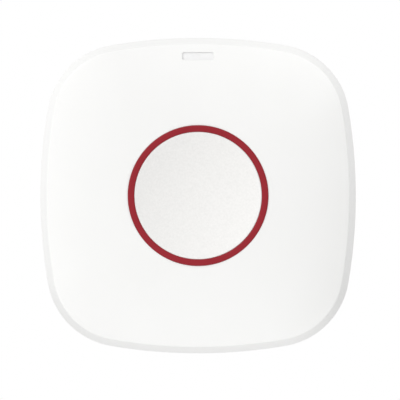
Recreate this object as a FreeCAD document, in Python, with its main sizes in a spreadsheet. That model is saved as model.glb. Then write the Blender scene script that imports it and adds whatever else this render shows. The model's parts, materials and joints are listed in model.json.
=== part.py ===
"""Wireless panic button for a wall: a domed white housing with one red-ringed push button.

Every piece is drawn lying on its back: x to the right, y up the wall and z out of the wall.
UPRIGHT then stands it against the wall, so that the wall is the plane y = 0, the face looks
along -Y and +Z is up. The origin is the middle of the face that lies on the wall.
"""
import FreeCAD, Part
import Sketcher
import math
import os
import re

SIZES = [
    # The housing as a whole
    ("outline_half", 33.0, "half width across the flats at the parting line"),
    ("side_bow_radius", 107.7, "radius of the four bowed sides"),
    ("corner_radius", 16.0, "radius of the four corners"),
    ("back_standoff", 0.8, "wall to the back edge of the housing"),
    ("parting_level", 8.0, "wall to the joint between front cover and rear housing"),
    ("crease_level", 17.0, "wall to the crease round the face"),
    ("crease_inset", 1.3, "how far the side leans in from parting line to crease"),
    ("dome_rise", 4.0, "height of the dome over the crease"),
    ("dome_power", 3.5, "how late the dome falls away: 2 is a parabola"),
    ("back_edge_radius", 2.4, "rounding of the back edge"),
    ("cover_wall", 2.0, "wall of the front cover at the parting line"),
    ("face_skin", 1.8, "thickness of the face along its edge"),
    ("ceiling_rise", 3.6, "how much higher the ceiling is round the button"),
    ("ceiling_flat_gap", 0.4, "flat ceiling round the flange of the ring"),
    ("ceiling_ledge", 0.7, "flat edge of the ceiling beside the wall"),
    ("fit_gap", 0.15, "clearance between pieces that are pushed together"),
    ("slide_gap", 0.2, "clearance between pieces that slide past each other"),
    # Lap joint between cover and rear housing
    ("lap_inset", 1.1, "outline to the outer side of the lap tongue"),
    ("lap_height", 1.2, "height of the lap tongue"),
    # Wall plate
    ("plate_inset", 7.5, "housing outline to plate outline"),
    ("plate_thickness", 2.4, "thickness of the plate"),
    ("plate_rim", 2.0, "rim left round the relief on the wall side"),
    ("plate_relief_depth", 1.0, "depth of that relief"),
    ("plate_screw_spacing", 36.0, "between the two wall screws"),
    ("plate_screw_hole_radius", 2.2, "hole for a wall screw"),
    ("plate_screw_pad_radius", 4.1, "full-thickness pad round a wall screw"),
    ("plate_countersink", 1.4, "countersink for the screw head"),
    ("plate_rib_half", 0.8, "half width of the two ribs across the relief"),
    ("plate_gap", 0.5, "between plate and housing floor"),
    ("plate_clearance", 0.4, "round the edge of the plate in its recess"),
    # Hooks that the housing hangs on
    ("housing_travel", 4.0, "how far the housing slides up to come off its hooks"),
    ("hook_shift", 0.45, "hooks nearer to the battery well than to the edge of the plate"),
    ("hook_upper_y", 9.5, "top of the upper hook stems"),
    ("hook_lower_y", -8.0, "top of the lower hook stems"),
    ("hook_width", 5.0, "width of a hook"),
    ("hook_thickness", 1.6, "thickness of a hook stem"),
    ("hook_lip", 3.0, "reach of the lip behind the housing floor"),
    ("hook_lip_gap", 0.2, "between lip and housing floor"),
    ("hook_lip_height", 1.5, "thickness of the lip"),
    ("hook_root", 0.5, "how deep the stem is rooted in the plate"),
    ("hook_lead", 0.5, "lead-in chamfer of the lip"),
    ("hang_gap", 0.05, "between a hook stem and the slot edge that rests on it"),
    ("hook_slot_gap", 0.4, "spare room in the slot"),
    # Rear housing
    ("floor_thickness", 1.8, "thickness of the housing floor"),
    ("pillar_radius", 3.4, "pillars and bosses for the housing screws"),
    ("pillar_top", 9.0, "wall to the joint between pillar and cover boss"),
    ("pillar_inset", 14.5, "housing outline to the centre line of a screw"),
    # Battery well and door
    ("cell_radius", 12.25, "coin cell"),
    ("cell_height", 5.0, "coin cell"),
    ("cell_step_radius", 10.6, "raised negative face of the cell"),
    ("cell_step_height", 0.3, "height of that face"),
    ("cell_edge", 0.25, "rounding of the can, drawn as a chamfer"),
    ("cell_depth", 2.0, "back of the housing floor to the cell"),
    ("cup_gap", 0.3, "round the cell in its cup"),
    ("cup_wall", 1.2, "wall of the cup"),
    ("well_flange_wall", 1.0, "thick rim outside the groove for the door lugs"),
    ("well_flange_skin", 1.2, "thick rim in front of that groove"),
    ("door_margin", 1.65, "how much larger the door is than the cup"),
    ("door_lip", 0.8, "lip that holds the door lugs"),
    ("door_groove_height", 1.4, "groove in front of the lip"),
    ("door_skin", 1.4, "thickness of the door"),
    ("door_rim_width", 1.2, "rim on the inside of the door"),
    ("door_pad_radius", 6.0, "pad that presses on the cell"),
    ("lug_reach", 1.0, "how far a lug stands out from the door"),
    ("lug_gap", 0.15, "between a lug and the walls of its groove"),
    ("lug_count", 3, "lugs round the door"),
    ("lug_angle", 30.0, "degrees that a lug covers"),
    ("notch_angle", 36.0, "degrees of the notch that lets a lug in"),
    ("door_turn", 45.0, "degrees from closed door to free door"),
    ("coin_slot_length", 16.0, "slot for a coin across the door"),
    ("coin_slot_width", 1.8, "width of that slot"),
    ("coin_slot_depth", 0.8, "depth of that slot"),
    # Tamper pin and its switch
    ("guide_space", 0.3, "between the battery well and the tube that guides the pin"),
    ("pin_radius", 1.0, "pin"),
    ("pin_tip_radius", 0.5, "tip of the pin"),
    ("pin_head_radius", 1.6, "head of the pin"),
    ("pin_head_height", 0.6, "head of the pin"),
    ("pin_travel", 1.2, "how far the pin drops when the housing leaves its hooks"),
    ("pin_gap", 0.05, "between pin tip and plate, and between head and switch"),
    ("guide_wall", 1.1, "wall of the tube that guides the pin"),
    ("switch_side", 4.5, "tamper switch"),
    ("switch_height", 1.6, "tamper switch"),
    ("switch_plunger_radius", 0.9, "plunger of the tamper switch"),
    ("switch_plunger_height", 0.5, "plunger of the tamper switch"),
    # Screws
    ("screw_radius", 1.1, "shank of the housing screws"),
    ("screw_head_radius", 2.0, "head of the housing screws"),
    ("screw_head_height", 1.5, "head of the housing screws"),
    ("screw_length", 7.6, "shank under the head"),
    ("screw_sink", 2.0, "depth of the counterbore"),
    ("screw_hold_gap", 0.05, "between shank and the hole it cuts its thread in"),
    ("board_screw_inset", 9.5, "housing outline to a board screw"),
    ("board_screw_radius", 0.9, "shank of the board screws"),
    ("board_screw_head_radius", 1.7, "head of the board screws"),
    ("board_screw_head_height", 0.9, "head of the board screws"),
    ("board_screw_length", 4.4, "shank under the head"),
    ("board_boss_radius", 2.2, "boss that holds a board screw"),
    ("boss_root", 0.9, "how far a boss reaches into the cover's skin"),
    # Circuit board and what it carries
    ("board_inset", 4.0, "housing outline to board outline"),
    ("board_space", 1.3, "between the cell and the board"),
    ("board_thickness", 1.0, "thickness of the board"),
    ("boss_neck_radius", 2.4, "boss where it passes the board"),
    ("pad_radius", 2.6, "round contact pad under the button"),
    ("pad_split", 0.5, "gap between its two halves"),
    ("pad_thickness", 0.1, "thickness of the contact pads"),
    ("chip_row_inset", 8.5, "lower edge of the board to the middle of its chips"),
    ("chip_space", 0.6, "between a screw pillar and the chip beside it"),
    ("module_length", 12.0, "radio module"),
    ("module_width", 9.0, "radio module"),
    ("module_base", 0.8, "its own small board"),
    ("module_can_rim", 0.7, "rim of board round the shield can"),
    ("module_can_height", 1.6, "shield can"),
    ("chip_side", 5.0, "microcontroller"),
    ("chip_height", 0.9, "microcontroller"),
    ("small_part_space", 4.0, "from a board screw in to the row of small parts"),
    ("small_part_pitch", 2.6, "step of that row"),
    ("small_part_length", 2.0, "small part"),
    ("small_part_width", 1.2, "small part"),
    ("small_part_height", 0.9, "small part"),
    ("crystal_length", 4.4, "crystal of the radio"),
    ("crystal_width", 2.0, "crystal of the radio"),
    ("crystal_height", 1.2, "crystal of the radio"),
    ("antenna_inset", 2.0, "lower edge of the board to the stamped antenna"),
    ("antenna_left", -2.0, "first foot of the antenna"),
    ("antenna_length", 18.0, "antenna"),
    ("antenna_strip", 0.5, "thickness of its strip"),
    ("antenna_foot", 1.4, "width of each foot"),
    ("antenna_width", 1.0, "width of the strip"),
    ("antenna_height", 2.4, "top of the antenna over the board"),
    ("contact_strip", 0.25, "thickness of the battery springs"),
    ("contact_width", 4.0, "width of the battery springs"),
    ("contact_foot", 3.0, "soldered foot of a battery spring"),
    ("side_contact_drop", 4.6, "board to the free end of the side spring"),
    ("face_contact_reach", 9.0, "soldered end of the face spring from the middle"),
    ("contact_gap", 0.03, "between a spring and the cell"),
    # Button
    ("ring_outer_radius", 14.7, "outside of the red ring"),
    ("ring_width", 1.35, "width of the red ring"),
    ("ring_crest_drop", 0.05, "crest of the red ring below the crown of the dome"),
    ("ring_edge_drop", 0.3, "edges of the red ring below that crown"),
    ("ring_bevel", 0.4, "width of the bevels beside its crest"),
    ("ring_depth", 5.2, "edges of the red ring to the end of its sleeve"),
    ("ring_flange_reach", 1.8, "how far the flange stands out under the cover"),
    ("ring_flange_thickness", 1.0, "flange under the cover"),
    ("cap_rim_drop", 0.1, "rim of the cap below the crown of the dome"),
    ("cap_bevel", 0.4, "rounding of the rim"),
    ("cap_dish_radius", 38.0, "hollow of the cap that a thumb finds"),
    ("cap_skin", 1.6, "thickness of the cap in the middle"),
    ("cap_skirt", 1.4, "wall of its skirt"),
    ("cap_depth", 4.5, "rim of the cap to the end of its skirt"),
    ("cap_post_radius", 2.5, "post that works the return pad"),
    ("cap_leg_angle", 18.0, "degrees that a snap leg covers"),
    ("cap_leg_count", 3, "snap legs"),
    ("cap_leg_wall", 1.0, "thickness of a snap leg"),
    ("cap_barb_reach", 0.9, "reach of its barb"),
    ("cap_barb_height", 1.0, "height of its barb"),
    ("button_travel", 1.0, "stroke of the button"),
    ("switch_slack", 0.05, "left between pill and pads at full stroke"),
    ("rest_pad_radius", 8.5, "foot of the return pad"),
    ("rest_pad_foot", 2.5, "width of that foot"),
    ("rest_pad_foot_height", 0.8, "height of that foot"),
    ("rest_pad_web", 0.7, "thickness of its thin cone"),
    ("rest_pad_crown_radius", 3.4, "crown that the post rests on"),
    ("pill_radius", 2.0, "conductive pill"),
    ("pill_height", 1.0, "conductive pill"),
    # Indicator
    ("window_inset", 2.55, "crease to the middle of the window"),
    ("window_width", 6.6, "slot in the face"),
    ("window_height", 1.7, "slot in the face"),
    ("window_corner", 0.45, "corner of that slot"),
    ("window_recess", 0.3, "window below the face"),
    ("window_foot_gap", 0.1, "between the lamp and the light guide"),
    ("window_foot_bevel", 0.7, "bevel of the light guide at the wall"),
    ("window_shoulder", 1.8, "how far the guide widens under the skin"),
    ("lamp_shift", 1.35, "how far the lamp is below the window"),
    ("lamp_length", 3.2, "lamp"),
    ("lamp_width", 1.6, "lamp"),
    ("lamp_base", 0.5, "lamp"),
    ("lamp_lens_height", 0.5, "lens of the lamp"),
    ("lamp_lens_inset", 0.3, "lens to the edge of the lamp"),
]

# Small parts in each of the two rows beside the button
ROW_COUNT = 4

# Places that follow from the sizes above
LEVELS = [
    ("crease_half", "outline_half - crease_inset"),
    ("crown_level", "crease_level + dome_rise"),
    ("plate_half", "outline_half - plate_inset"),
    ("pillar_place", "outline_half - pillar_inset"),
    ("pillar_side", "pillar_place - pillar_radius"),
    ("floor_back", "plate_thickness + plate_gap"),
    ("floor_front", "floor_back + floor_thickness"),
    ("cell_level", "floor_back + cell_depth"),
    ("cell_front", "cell_level + cell_height"),
    ("board_half", "outline_half - board_inset"),
    ("board_level", "cell_front + board_space"),
    ("board_front", "board_level + board_thickness"),
    ("board_screw_x", "outline_half - board_screw_inset"),
    ("small_part_x", "board_screw_x - small_part_space"),
    ("small_part_y", f"(board_boss_radius + pillar_side - {ROW_COUNT - 1} * small_part_pitch) / 2"),
    ("module_x", "chip_space + module_length / 2 - pillar_side"),
    ("chip_x", "pillar_side - chip_space - chip_side / 2"),
    ("chip_y", "chip_row_inset - board_half"),
    ("antenna_y", "antenna_inset - board_half"),
    ("ring_inner_radius", "ring_outer_radius - ring_width"),
    ("ring_edge_level", "crown_level - ring_edge_drop"),
    ("ring_crest_level", "crown_level - ring_crest_drop"),
    ("ring_sleeve_end", "ring_edge_level - ring_depth"),
    ("ring_flange_radius", "ring_outer_radius + ring_flange_reach"),
    ("ceiling_level", "crease_level - face_skin"),
    ("ceiling_top", "ceiling_level + ceiling_rise"),
    ("ceiling_flat_radius", "ring_flange_radius + ceiling_flat_gap"),
    ("ceiling_edge_radius", "crease_half - cover_wall - ceiling_ledge"),
    ("ceiling_slope", "ceiling_rise / (ceiling_edge_radius - ceiling_flat_radius)"),
    ("board_boss_top", "ceiling_top - ceiling_slope * (board_screw_x - ceiling_flat_radius)"),
    ("lip_back", "floor_front + hook_lip_gap"),
    ("aperture_radius", "ring_outer_radius + fit_gap"),
    ("cup_radius", "cell_radius + cup_gap"),
    ("door_radius", "cup_radius + door_margin"),
    ("groove_back", "floor_back + door_lip"),
    ("groove_front", "groove_back + door_groove_height"),
    ("groove_radius", "door_radius + lug_reach + slide_gap"),
    ("well_flange_radius", "groove_radius + well_flange_wall"),
    ("well_flange_top", "groove_front + well_flange_skin"),
    ("hook_x", "(well_flange_radius + plate_half) / 2 - hook_shift"),
    ("guide_radius", "pin_radius + slide_gap + guide_wall"),
    ("tamper_y", "well_flange_radius + guide_space + guide_radius"),
    ("guide_top", "pin_head_level - pin_travel - pin_gap"),
    ("pin_head_level", "board_level - switch_height - switch_plunger_height - pin_gap - pin_head_height"),
    ("ring_flange_level", "ceiling_top - ring_flange_thickness"),
    ("pill_level", "board_front + pad_thickness + button_travel + switch_slack"),
    ("cap_radius", "ring_inner_radius - slide_gap"),
    ("cap_rim_level", "crown_level - cap_rim_drop"),
    ("cap_skirt_end", "cap_rim_level - cap_depth"),
    ("dish_edge", "cap_radius - cap_bevel"),
    ("dish_level", "cap_rim_level - cap_dish_radius + sqrt(cap_dish_radius ^ 2 - dish_edge ^ 2)"),
    ("window_y", "crease_half - window_inset"),
    ("window_low", "window_y - window_height / 2"),
    ("window_high", "window_y + window_height / 2"),
    ("lamp_y", "window_y - lamp_shift"),
    ("window_foot_level", "board_front + lamp_base + lamp_lens_height + window_foot_gap"),
]

# Sections of the dome, as shares of the face's width from the crease inwards
DOME_STEPS = (0.93, 0.84, 0.72, 0.58, 0.42)
CORNERS = (("", ""), ("-", ""), ("-", "-"), ("", "-"))
UPRIGHT = FreeCAD.Placement(FreeCAD.Vector(0, 0, 0), FreeCAD.Rotation(FreeCAD.Vector(1, 0, 0), 90))
UP = FreeCAD.Vector(0, 0, 1)
# In a sketch of the battery well its upright axis points out of the wall, and the door opens
# the other way round from it: counter-clockwise for someone who looks at the back
OPENING_WAY = FreeCAD.Vector(0, -1, 0)

doc = FreeCAD.newDocument("PanicButton")
sheet = doc.addObject("Spreadsheet::Sheet", "Sizes")
for row, (alias, size, meaning) in enumerate(SIZES, 1):
    sheet.set(f"A{row}", str(size))
    sheet.setAlias(f"A{row}", alias)
    sheet.set(f"B{row}", meaning)
levels = doc.addObject("App::VarSet", "Levels")
OWNER = {alias: "Sizes" for alias, size, meaning in SIZES}
OWNER.update({name: "Levels" for name, rule in LEVELS})
doc.recompute()


def full(rule):
    """A rule with each name written out as the sheet or the level that holds it."""
    return re.sub(r"[a-z_]+", lambda word: named(word.group()), str(rule))


def named(word):
    """The full name of a size or level, and any other word as it is."""
    return f"{OWNER[word]}.{word}" if word in OWNER else word


def number(rule):
    """What a rule comes to now."""
    return float(sheet.evalExpression(full(rule)))


def bind(thing, slot, rule):
    """Tie a property to a rule."""
    thing.setExpression(slot, full(rule))


for name, rule in LEVELS:
    levels.addProperty("App::PropertyFloat", name)
    bind(levels, name, rule)
doc.recompute()


def new_body(label):
    body = doc.addObject("PartDesign::Body", label)
    body.Label = label
    body.Placement = UPRIGHT
    return body


def datum(body, role):
    """One of the planes or axes at the body's own origin."""
    return next(item for item in body.Origin.OriginFeatures if item.Role == role)


def sketch_on(body, name, level="0", plane="XY_Plane"):
    """An empty sketch on one of the body's planes, moved out along its normal."""
    sketch = body.newObject("Sketcher::SketchObject", name)
    sketch.AttachmentSupport = [(datum(body, plane), "")]
    sketch.MapMode = "FlatFace"
    bind(sketch, "AttachmentOffset.Base.z", level)
    return sketch


def drive(sketch, kind, *where, to):
    """A dimension in a sketch, tied to a rule."""
    index = sketch.addConstraint(Sketcher.Constraint(kind, *where, number(to)))
    bind(sketch, f"Constraints[{index}]", to)


def pin_point(sketch, shape, end, x, y):
    """Fix one point of a shape at x, y."""
    if x == "0":
        sketch.addConstraint(Sketcher.Constraint("PointOnObject", shape, end, -2))
    else:
        drive(sketch, "DistanceX", -1, 1, shape, end, to=x)
    if y == "0":
        sketch.addConstraint(Sketcher.Constraint("PointOnObject", shape, end, -1))
    else:
        drive(sketch, "DistanceY", -1, 1, shape, end, to=y)


def circle(sketch, radius, x="0", y="0"):
    centre = FreeCAD.Vector(number(x), number(y), 0)
    shape = sketch.addGeometry(Part.Circle(centre, UP, number(radius)))
    pin_point(sketch, shape, 3, x, y)
    drive(sketch, "Radius", shape, to=radius)


def arc_between(start, end, radius):
    """A short arc between two points: it bulges to the right of the way from start to end."""
    chord = end - start
    middle = (start + end) / 2
    normal = FreeCAD.Vector(-chord.y, chord.x, 0) / chord.Length
    depth = math.sqrt(radius ** 2 - (chord.Length / 2) ** 2)
    centre = middle + normal * depth if radius > 0 else middle - normal * depth
    first, last = (start, end) if radius > 0 else (end, start)
    angles = [math.atan2(point.y - centre.y, point.x - centre.x) for point in (first, last)]
    return Part.ArcOfCircle(Part.Circle(centre, UP, abs(radius)), *angles)


def profile(sketch, corners):
    """A closed loop through corners given as (x, y) or (x, y, radius of the arc to the next one)."""
    points = [FreeCAD.Vector(number(corner[0]), number(corner[1]), 0) for corner in corners]
    ends = []
    for index, corner in enumerate(corners):
        start = points[index]
        end = points[(index + 1) % len(points)]
        if len(corner) == 3:
            radius = number(corner[2])
            shape = sketch.addGeometry(arc_between(start, end, radius))
            drive(sketch, "Radius", shape, to=corner[2] if radius > 0 else f"-({corner[2]})")
            ends.append((shape, 1, 2) if radius > 0 else (shape, 2, 1))
        else:
            shape = sketch.addGeometry(Part.LineSegment(start, end))
            ends.append((shape, 1, 2))
    for index, corner in enumerate(corners):
        following = ends[(index + 1) % len(ends)]
        sketch.addConstraint(
            Sketcher.Constraint("Coincident", ends[index][0], ends[index][2], following[0], following[1])
        )
        pin_point(sketch, ends[index][0], ends[index][1], corner[0], corner[1])


def block(sketch, x, y, width, height):
    """A rectangle about the point x, y."""
    left = f"{x} - ({width}) / 2"
    right = f"{x} + ({width}) / 2"
    low = f"{y} - ({height}) / 2"
    high = f"{y} + ({height}) / 2"
    profile(sketch, [(left, low), (right, low), (right, high), (left, high)])


def rounded_block(sketch, x, y, width, height, radius):
    """A rectangle with rounded corners, eight lines and arcs that run into each other."""
    wide, tall, bend = number(width) / 2, number(height) / 2, number(radius)
    centre = FreeCAD.Vector(number(x), number(y), 0)
    shapes = []
    for turn in range(4):
        spin = FreeCAD.Rotation(UP, 90 * turn)
        out, along = (wide, tall) if turn % 2 == 0 else (tall, wide)
        low = centre + spin.multVec(FreeCAD.Vector(out, bend - along, 0))
        high = centre + spin.multVec(FreeCAD.Vector(out, along - bend, 0))
        hub = centre + spin.multVec(FreeCAD.Vector(out - bend, along - bend, 0))
        shapes.append(sketch.addGeometry(Part.LineSegment(low, high)))
        start = math.radians(90 * turn)
        arc = Part.ArcOfCircle(Part.Circle(hub, UP, bend), start, start + math.pi / 2)
        shapes.append(sketch.addGeometry(arc))
    for index, shape in enumerate(shapes):
        following = shapes[(index + 1) % len(shapes)]
        sketch.addConstraint(Sketcher.Constraint("Tangent", shape, 2, following, 1))
    for index in (0, 4):
        sketch.addConstraint(Sketcher.Constraint("Vertical", shapes[index]))
        sketch.addConstraint(Sketcher.Constraint("Horizontal", shapes[index + 2]))
    for index in (3, 5, 7):
        sketch.addConstraint(Sketcher.Constraint("Equal", shapes[1], shapes[index]))
    drive(sketch, "Radius", shapes[1], to=radius)
    drive(sketch, "DistanceX", -1, 1, shapes[0], 1, to=f"{x} + ({width}) / 2")
    drive(sketch, "DistanceX", -1, 1, shapes[4], 1, to=f"{x} - ({width}) / 2")
    drive(sketch, "DistanceY", -1, 1, shapes[2], 1, to=f"{y} + ({height}) / 2")
    drive(sketch, "DistanceY", -1, 1, shapes[6], 1, to=f"{y} - ({height}) / 2")


def outline(sketch, inset, share="1", lift="0"):
    """The housing's outline moved in by inset: four bowed sides and four corners, all tangent."""
    half = f"{share} * (outline_half - ({inset}))"
    bow = f"{share} * (side_bow_radius - ({inset}))"
    corner = f"{share} * (corner_radius - ({inset}))"
    back = number(bow) - number(half)
    reach = number(bow) - number(corner)
    hub = (math.sqrt(2 * reach ** 2 - back ** 2) - back) / 2
    half_angle = math.atan2(hub, hub + back)
    shift = FreeCAD.Vector(0, number(lift), 0)
    for turn in range(4):
        spin = FreeCAD.Rotation(UP, 90 * turn)
        facing = math.radians(90 * turn)
        side_centre = shift + spin.multVec(FreeCAD.Vector(-back, 0, 0))
        side = Part.Circle(side_centre, UP, number(bow))
        sketch.addGeometry(Part.ArcOfCircle(side, facing - half_angle, facing + half_angle))
        corner_centre = shift + spin.multVec(FreeCAD.Vector(hub, hub, 0))
        bend = Part.Circle(corner_centre, UP, number(corner))
        bend_end = facing + math.pi / 2 - half_angle
        sketch.addGeometry(Part.ArcOfCircle(bend, facing + half_angle, bend_end))
    first = sketch.GeometryCount - 8
    for index in range(8):
        following = first + (index + 1) % 8
        sketch.addConstraint(Sketcher.Constraint("Tangent", first + index, 2, following, 1))
    behind = f"(({bow}) - ({half}))"
    level = "" if lift == "0" else f"{lift} "
    pin_point(sketch, first, 3, f"-{behind}", lift)
    pin_point(sketch, first + 2, 3, "0", f"{level}-{behind}")
    pin_point(sketch, first + 4, 3, behind, lift)
    pin_point(sketch, first + 6, 3, "0", f"{level}+{behind}")
    drive(sketch, "Radius", first, to=bow)
    drive(sketch, "Radius", first + 1, to=corner)
    for index in (2, 4, 6):
        sketch.addConstraint(Sketcher.Constraint("Equal", first, first + index))
        sketch.addConstraint(Sketcher.Constraint("Equal", first + 1, first + index + 1))


def settle(body, feature, grows):
    """Recompute, and stop if the feature has added or cut nothing."""
    body.Tip = feature
    doc.recompute()
    before = feature.BaseFeature.Shape.Volume if feature.BaseFeature else 0.0
    change = feature.Shape.Volume - before
    if change * (1 if grows else -1) <= 0:
        raise RuntimeError(f"{body.Label}: {feature.Name} changed the volume by {change:.3f}")
    return feature


def extrude(body, sketch, length, cuts=False, backwards=False, both_ways=False):
    """Pad or pocket a sketch. A pad goes along the sketch's normal, a pocket against it."""
    kind = "PartDesign::Pocket" if cuts else "PartDesign::Pad"
    feature = body.newObject(kind, f"{sketch.Name}_{'cut' if cuts else 'pad'}")
    feature.Profile = sketch
    bind(feature, "Length", length)
    feature.SideType = "Symmetric" if both_ways else "One side"
    feature.Reversed = backwards
    sketch.Visibility = False
    return settle(body, feature, grows=not cuts)


def revolve(body, sketch, angle="360", cuts=False, both_ways=False):
    """Turn a sketch on the XZ plane about the axis that points out of the wall."""
    kind = "PartDesign::Groove" if cuts else "PartDesign::Revolution"
    feature = body.newObject(kind, f"{sketch.Name}_turned")
    feature.Profile = sketch
    feature.ReferenceAxis = (sketch, ["V_Axis"])
    bind(feature, "Angle", angle)
    feature.Midplane = both_ways
    return settle(body, feature, grows=not cuts)


def loft(body, sketches, cuts=False, ruled=False):
    """A skin through one outline after the other."""
    kind = "PartDesign::SubtractiveLoft" if cuts else "PartDesign::AdditiveLoft"
    feature = body.newObject(kind, f"{sketches[0].Name}_loft")
    feature.Profile = sketches[0]
    feature.Sections = sketches[1:]
    feature.Ruled = ruled
    return settle(body, feature, grows=not cuts)


def repeat_round(body, feature, count, grows=True):
    """Copies of a feature, evenly round the axis that points out of the wall."""
    pattern = body.newObject("PartDesign::PolarPattern", f"{feature.Name}_round")
    pattern.Originals = [feature]
    pattern.Axis = (datum(body, "Z_Axis"), [""])
    pattern.Angle = 360
    bind(pattern, "Occurrences", count)
    return settle(body, pattern, grows)


def mirror_across(body, feature, grows=True):
    """A copy of a feature on the other side of the upright centre plane."""
    mirrored = body.newObject("PartDesign::Mirrored", f"{feature.Name}_mirrored")
    mirrored.Originals = [feature]
    mirrored.MirrorPlane = (datum(body, "YZ_Plane"), [""])
    return settle(body, mirrored, grows)


def edges_at(feature, level, radius=None):
    """Names of the edges that lie flat at a level, and with a radius only circles of that size."""
    found = []
    for index, edge in enumerate(feature.Shape.Edges, 1):
        flat = abs(edge.BoundBox.ZMin - level) < 1e-4 and abs(edge.BoundBox.ZMax - level) < 1e-4
        size = getattr(edge.Curve, "Radius", None)
        if flat and (radius is None or (size is not None and abs(size - radius) < 1e-4)):
            found.append(f"Edge{index}")
    return found


def edges_along_axis(feature, y):
    """Names of the edges that point out of the wall at a height y."""
    found = []
    for index, edge in enumerate(feature.Shape.Edges, 1):
        box = edge.BoundBox
        if box.XLength < 1e-4 and abs(box.YMin - y) < 1e-4 and abs(box.YMax - y) < 1e-4:
            found.append(f"Edge{index}")
    return found


def dress_edges(body, kind, edges, slot, size):
    """Fillet or chamfer some edges of the last feature."""
    base = body.Tip
    feature = body.newObject(f"PartDesign::{kind}", f"{base.Name}_{kind.lower()}")
    feature.Base = (base, edges)
    bind(feature, slot, size)
    return settle(body, feature, grows=False)


# Wall plate

def build_wall_plate():
    """Moulded plate that is screwed to the wall, with four hooks and a ramp for the tamper pin."""
    body = new_body("wall_plate")
    plate = sketch_on(body, "plate_outline")
    outline(plate, "plate_inset")
    extrude(body, plate, "plate_thickness")

    relief = sketch_on(body, "plate_relief")
    outline(relief, "plate_inset + plate_rim")
    extrude(body, relief, "plate_relief_depth", cuts=True, backwards=True)
    pads = sketch_on(body, "plate_screw_pads")
    for side in ("", "-"):
        circle(pads, "plate_screw_pad_radius", x=f"{side}plate_screw_spacing / 2")
    extrude(body, pads, "plate_relief_depth")

    ribs = sketch_on(body, "plate_ribs")
    for height in ("hook_upper_y", "hook_lower_y"):
        block(ribs, "0", f"{height} - hook_thickness / 2", "2 * hook_x + hook_width", "2 * plate_rib_half")
    extrude(body, ribs, "plate_relief_depth")
    spine = sketch_on(body, "plate_spine")
    block(spine, "0", "0", "2 * plate_rib_half", "2 * plate_half - plate_rim")
    extrude(body, spine, "plate_relief_depth")

    ramp_low = "tamper_y - pin_tip_radius"
    ramp_high = f"{ramp_low} + housing_travel + 2 * pin_radius"
    ramp_fall = f"({ramp_high} - ({ramp_low})) * pin_travel / housing_travel"
    island = sketch_on(body, "ramp_island")
    island_high = "plate_half - plate_rim / 2"
    island_middle = f"({ramp_low} + {island_high}) / 2"
    block(island, "0", island_middle, "4 * pin_radius + 2 * plate_rib_half", f"{island_high} - ({ramp_low})")
    extrude(body, island, "plate_relief_depth")
    ramp = sketch_on(body, "ramp", plane="YZ_Plane")
    ramp_corners = [
        (ramp_low, "plate_thickness"),
        (ramp_high, f"plate_thickness - {ramp_fall}"),
        (ramp_high, "plate_thickness"),
    ]
    profile(ramp, ramp_corners)
    extrude(body, ramp, "4 * pin_radius", cuts=True, both_ways=True)

    hooks = sketch_on(body, "hooks", "hook_x", plane="YZ_Plane")
    for top in ("hook_upper_y", "hook_lower_y"):
        hook_corners = [
            (f"{top} - hook_thickness", "plate_thickness - hook_root"),
            (top, "plate_thickness - hook_root"),
            (top, "lip_back"),
            (f"{top} + hook_lip - hook_lead", "lip_back"),
            (f"{top} + hook_lip", "lip_back + hook_lead"),
            (f"{top} + hook_lip", "lip_back + hook_lip_height"),
            (f"{top} - hook_thickness", "lip_back + hook_lip_height"),
        ]
        profile(hooks, hook_corners)
    one_side = extrude(body, hooks, "hook_width", both_ways=True)
    mirror_across(body, one_side)

    holes = sketch_on(body, "wall_screw_holes", "plate_thickness")
    for side in ("", "-"):
        circle(holes, "plate_screw_hole_radius", x=f"{side}plate_screw_spacing / 2")
    drilled = extrude(body, holes, "plate_thickness", cuts=True)
    rims = edges_at(drilled, number("plate_thickness"), number("plate_screw_hole_radius"))
    dress_edges(body, "Chamfer", rims, "Size", "plate_countersink")
    return body


# Rear housing

def well_profile(body, name):
    """Half section of the battery well: the lip, the groove for the lugs, the thick rim and the cup."""
    section = sketch_on(body, name, plane="XZ_Plane")
    corners = [
        ("door_radius + slide_gap", "floor_back"),
        ("well_flange_radius", "floor_back"),
        ("well_flange_radius", "well_flange_top"),
        ("cup_radius + cup_wall", "well_flange_top"),
        ("cup_radius + cup_wall", "cell_front"),
        ("cup_radius", "cell_front"),
        ("cup_radius", "groove_front"),
        ("groove_radius", "groove_front"),
        ("groove_radius", "groove_back"),
        ("door_radius + slide_gap", "groove_back"),
    ]
    profile(section, corners)
    return section


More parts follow.
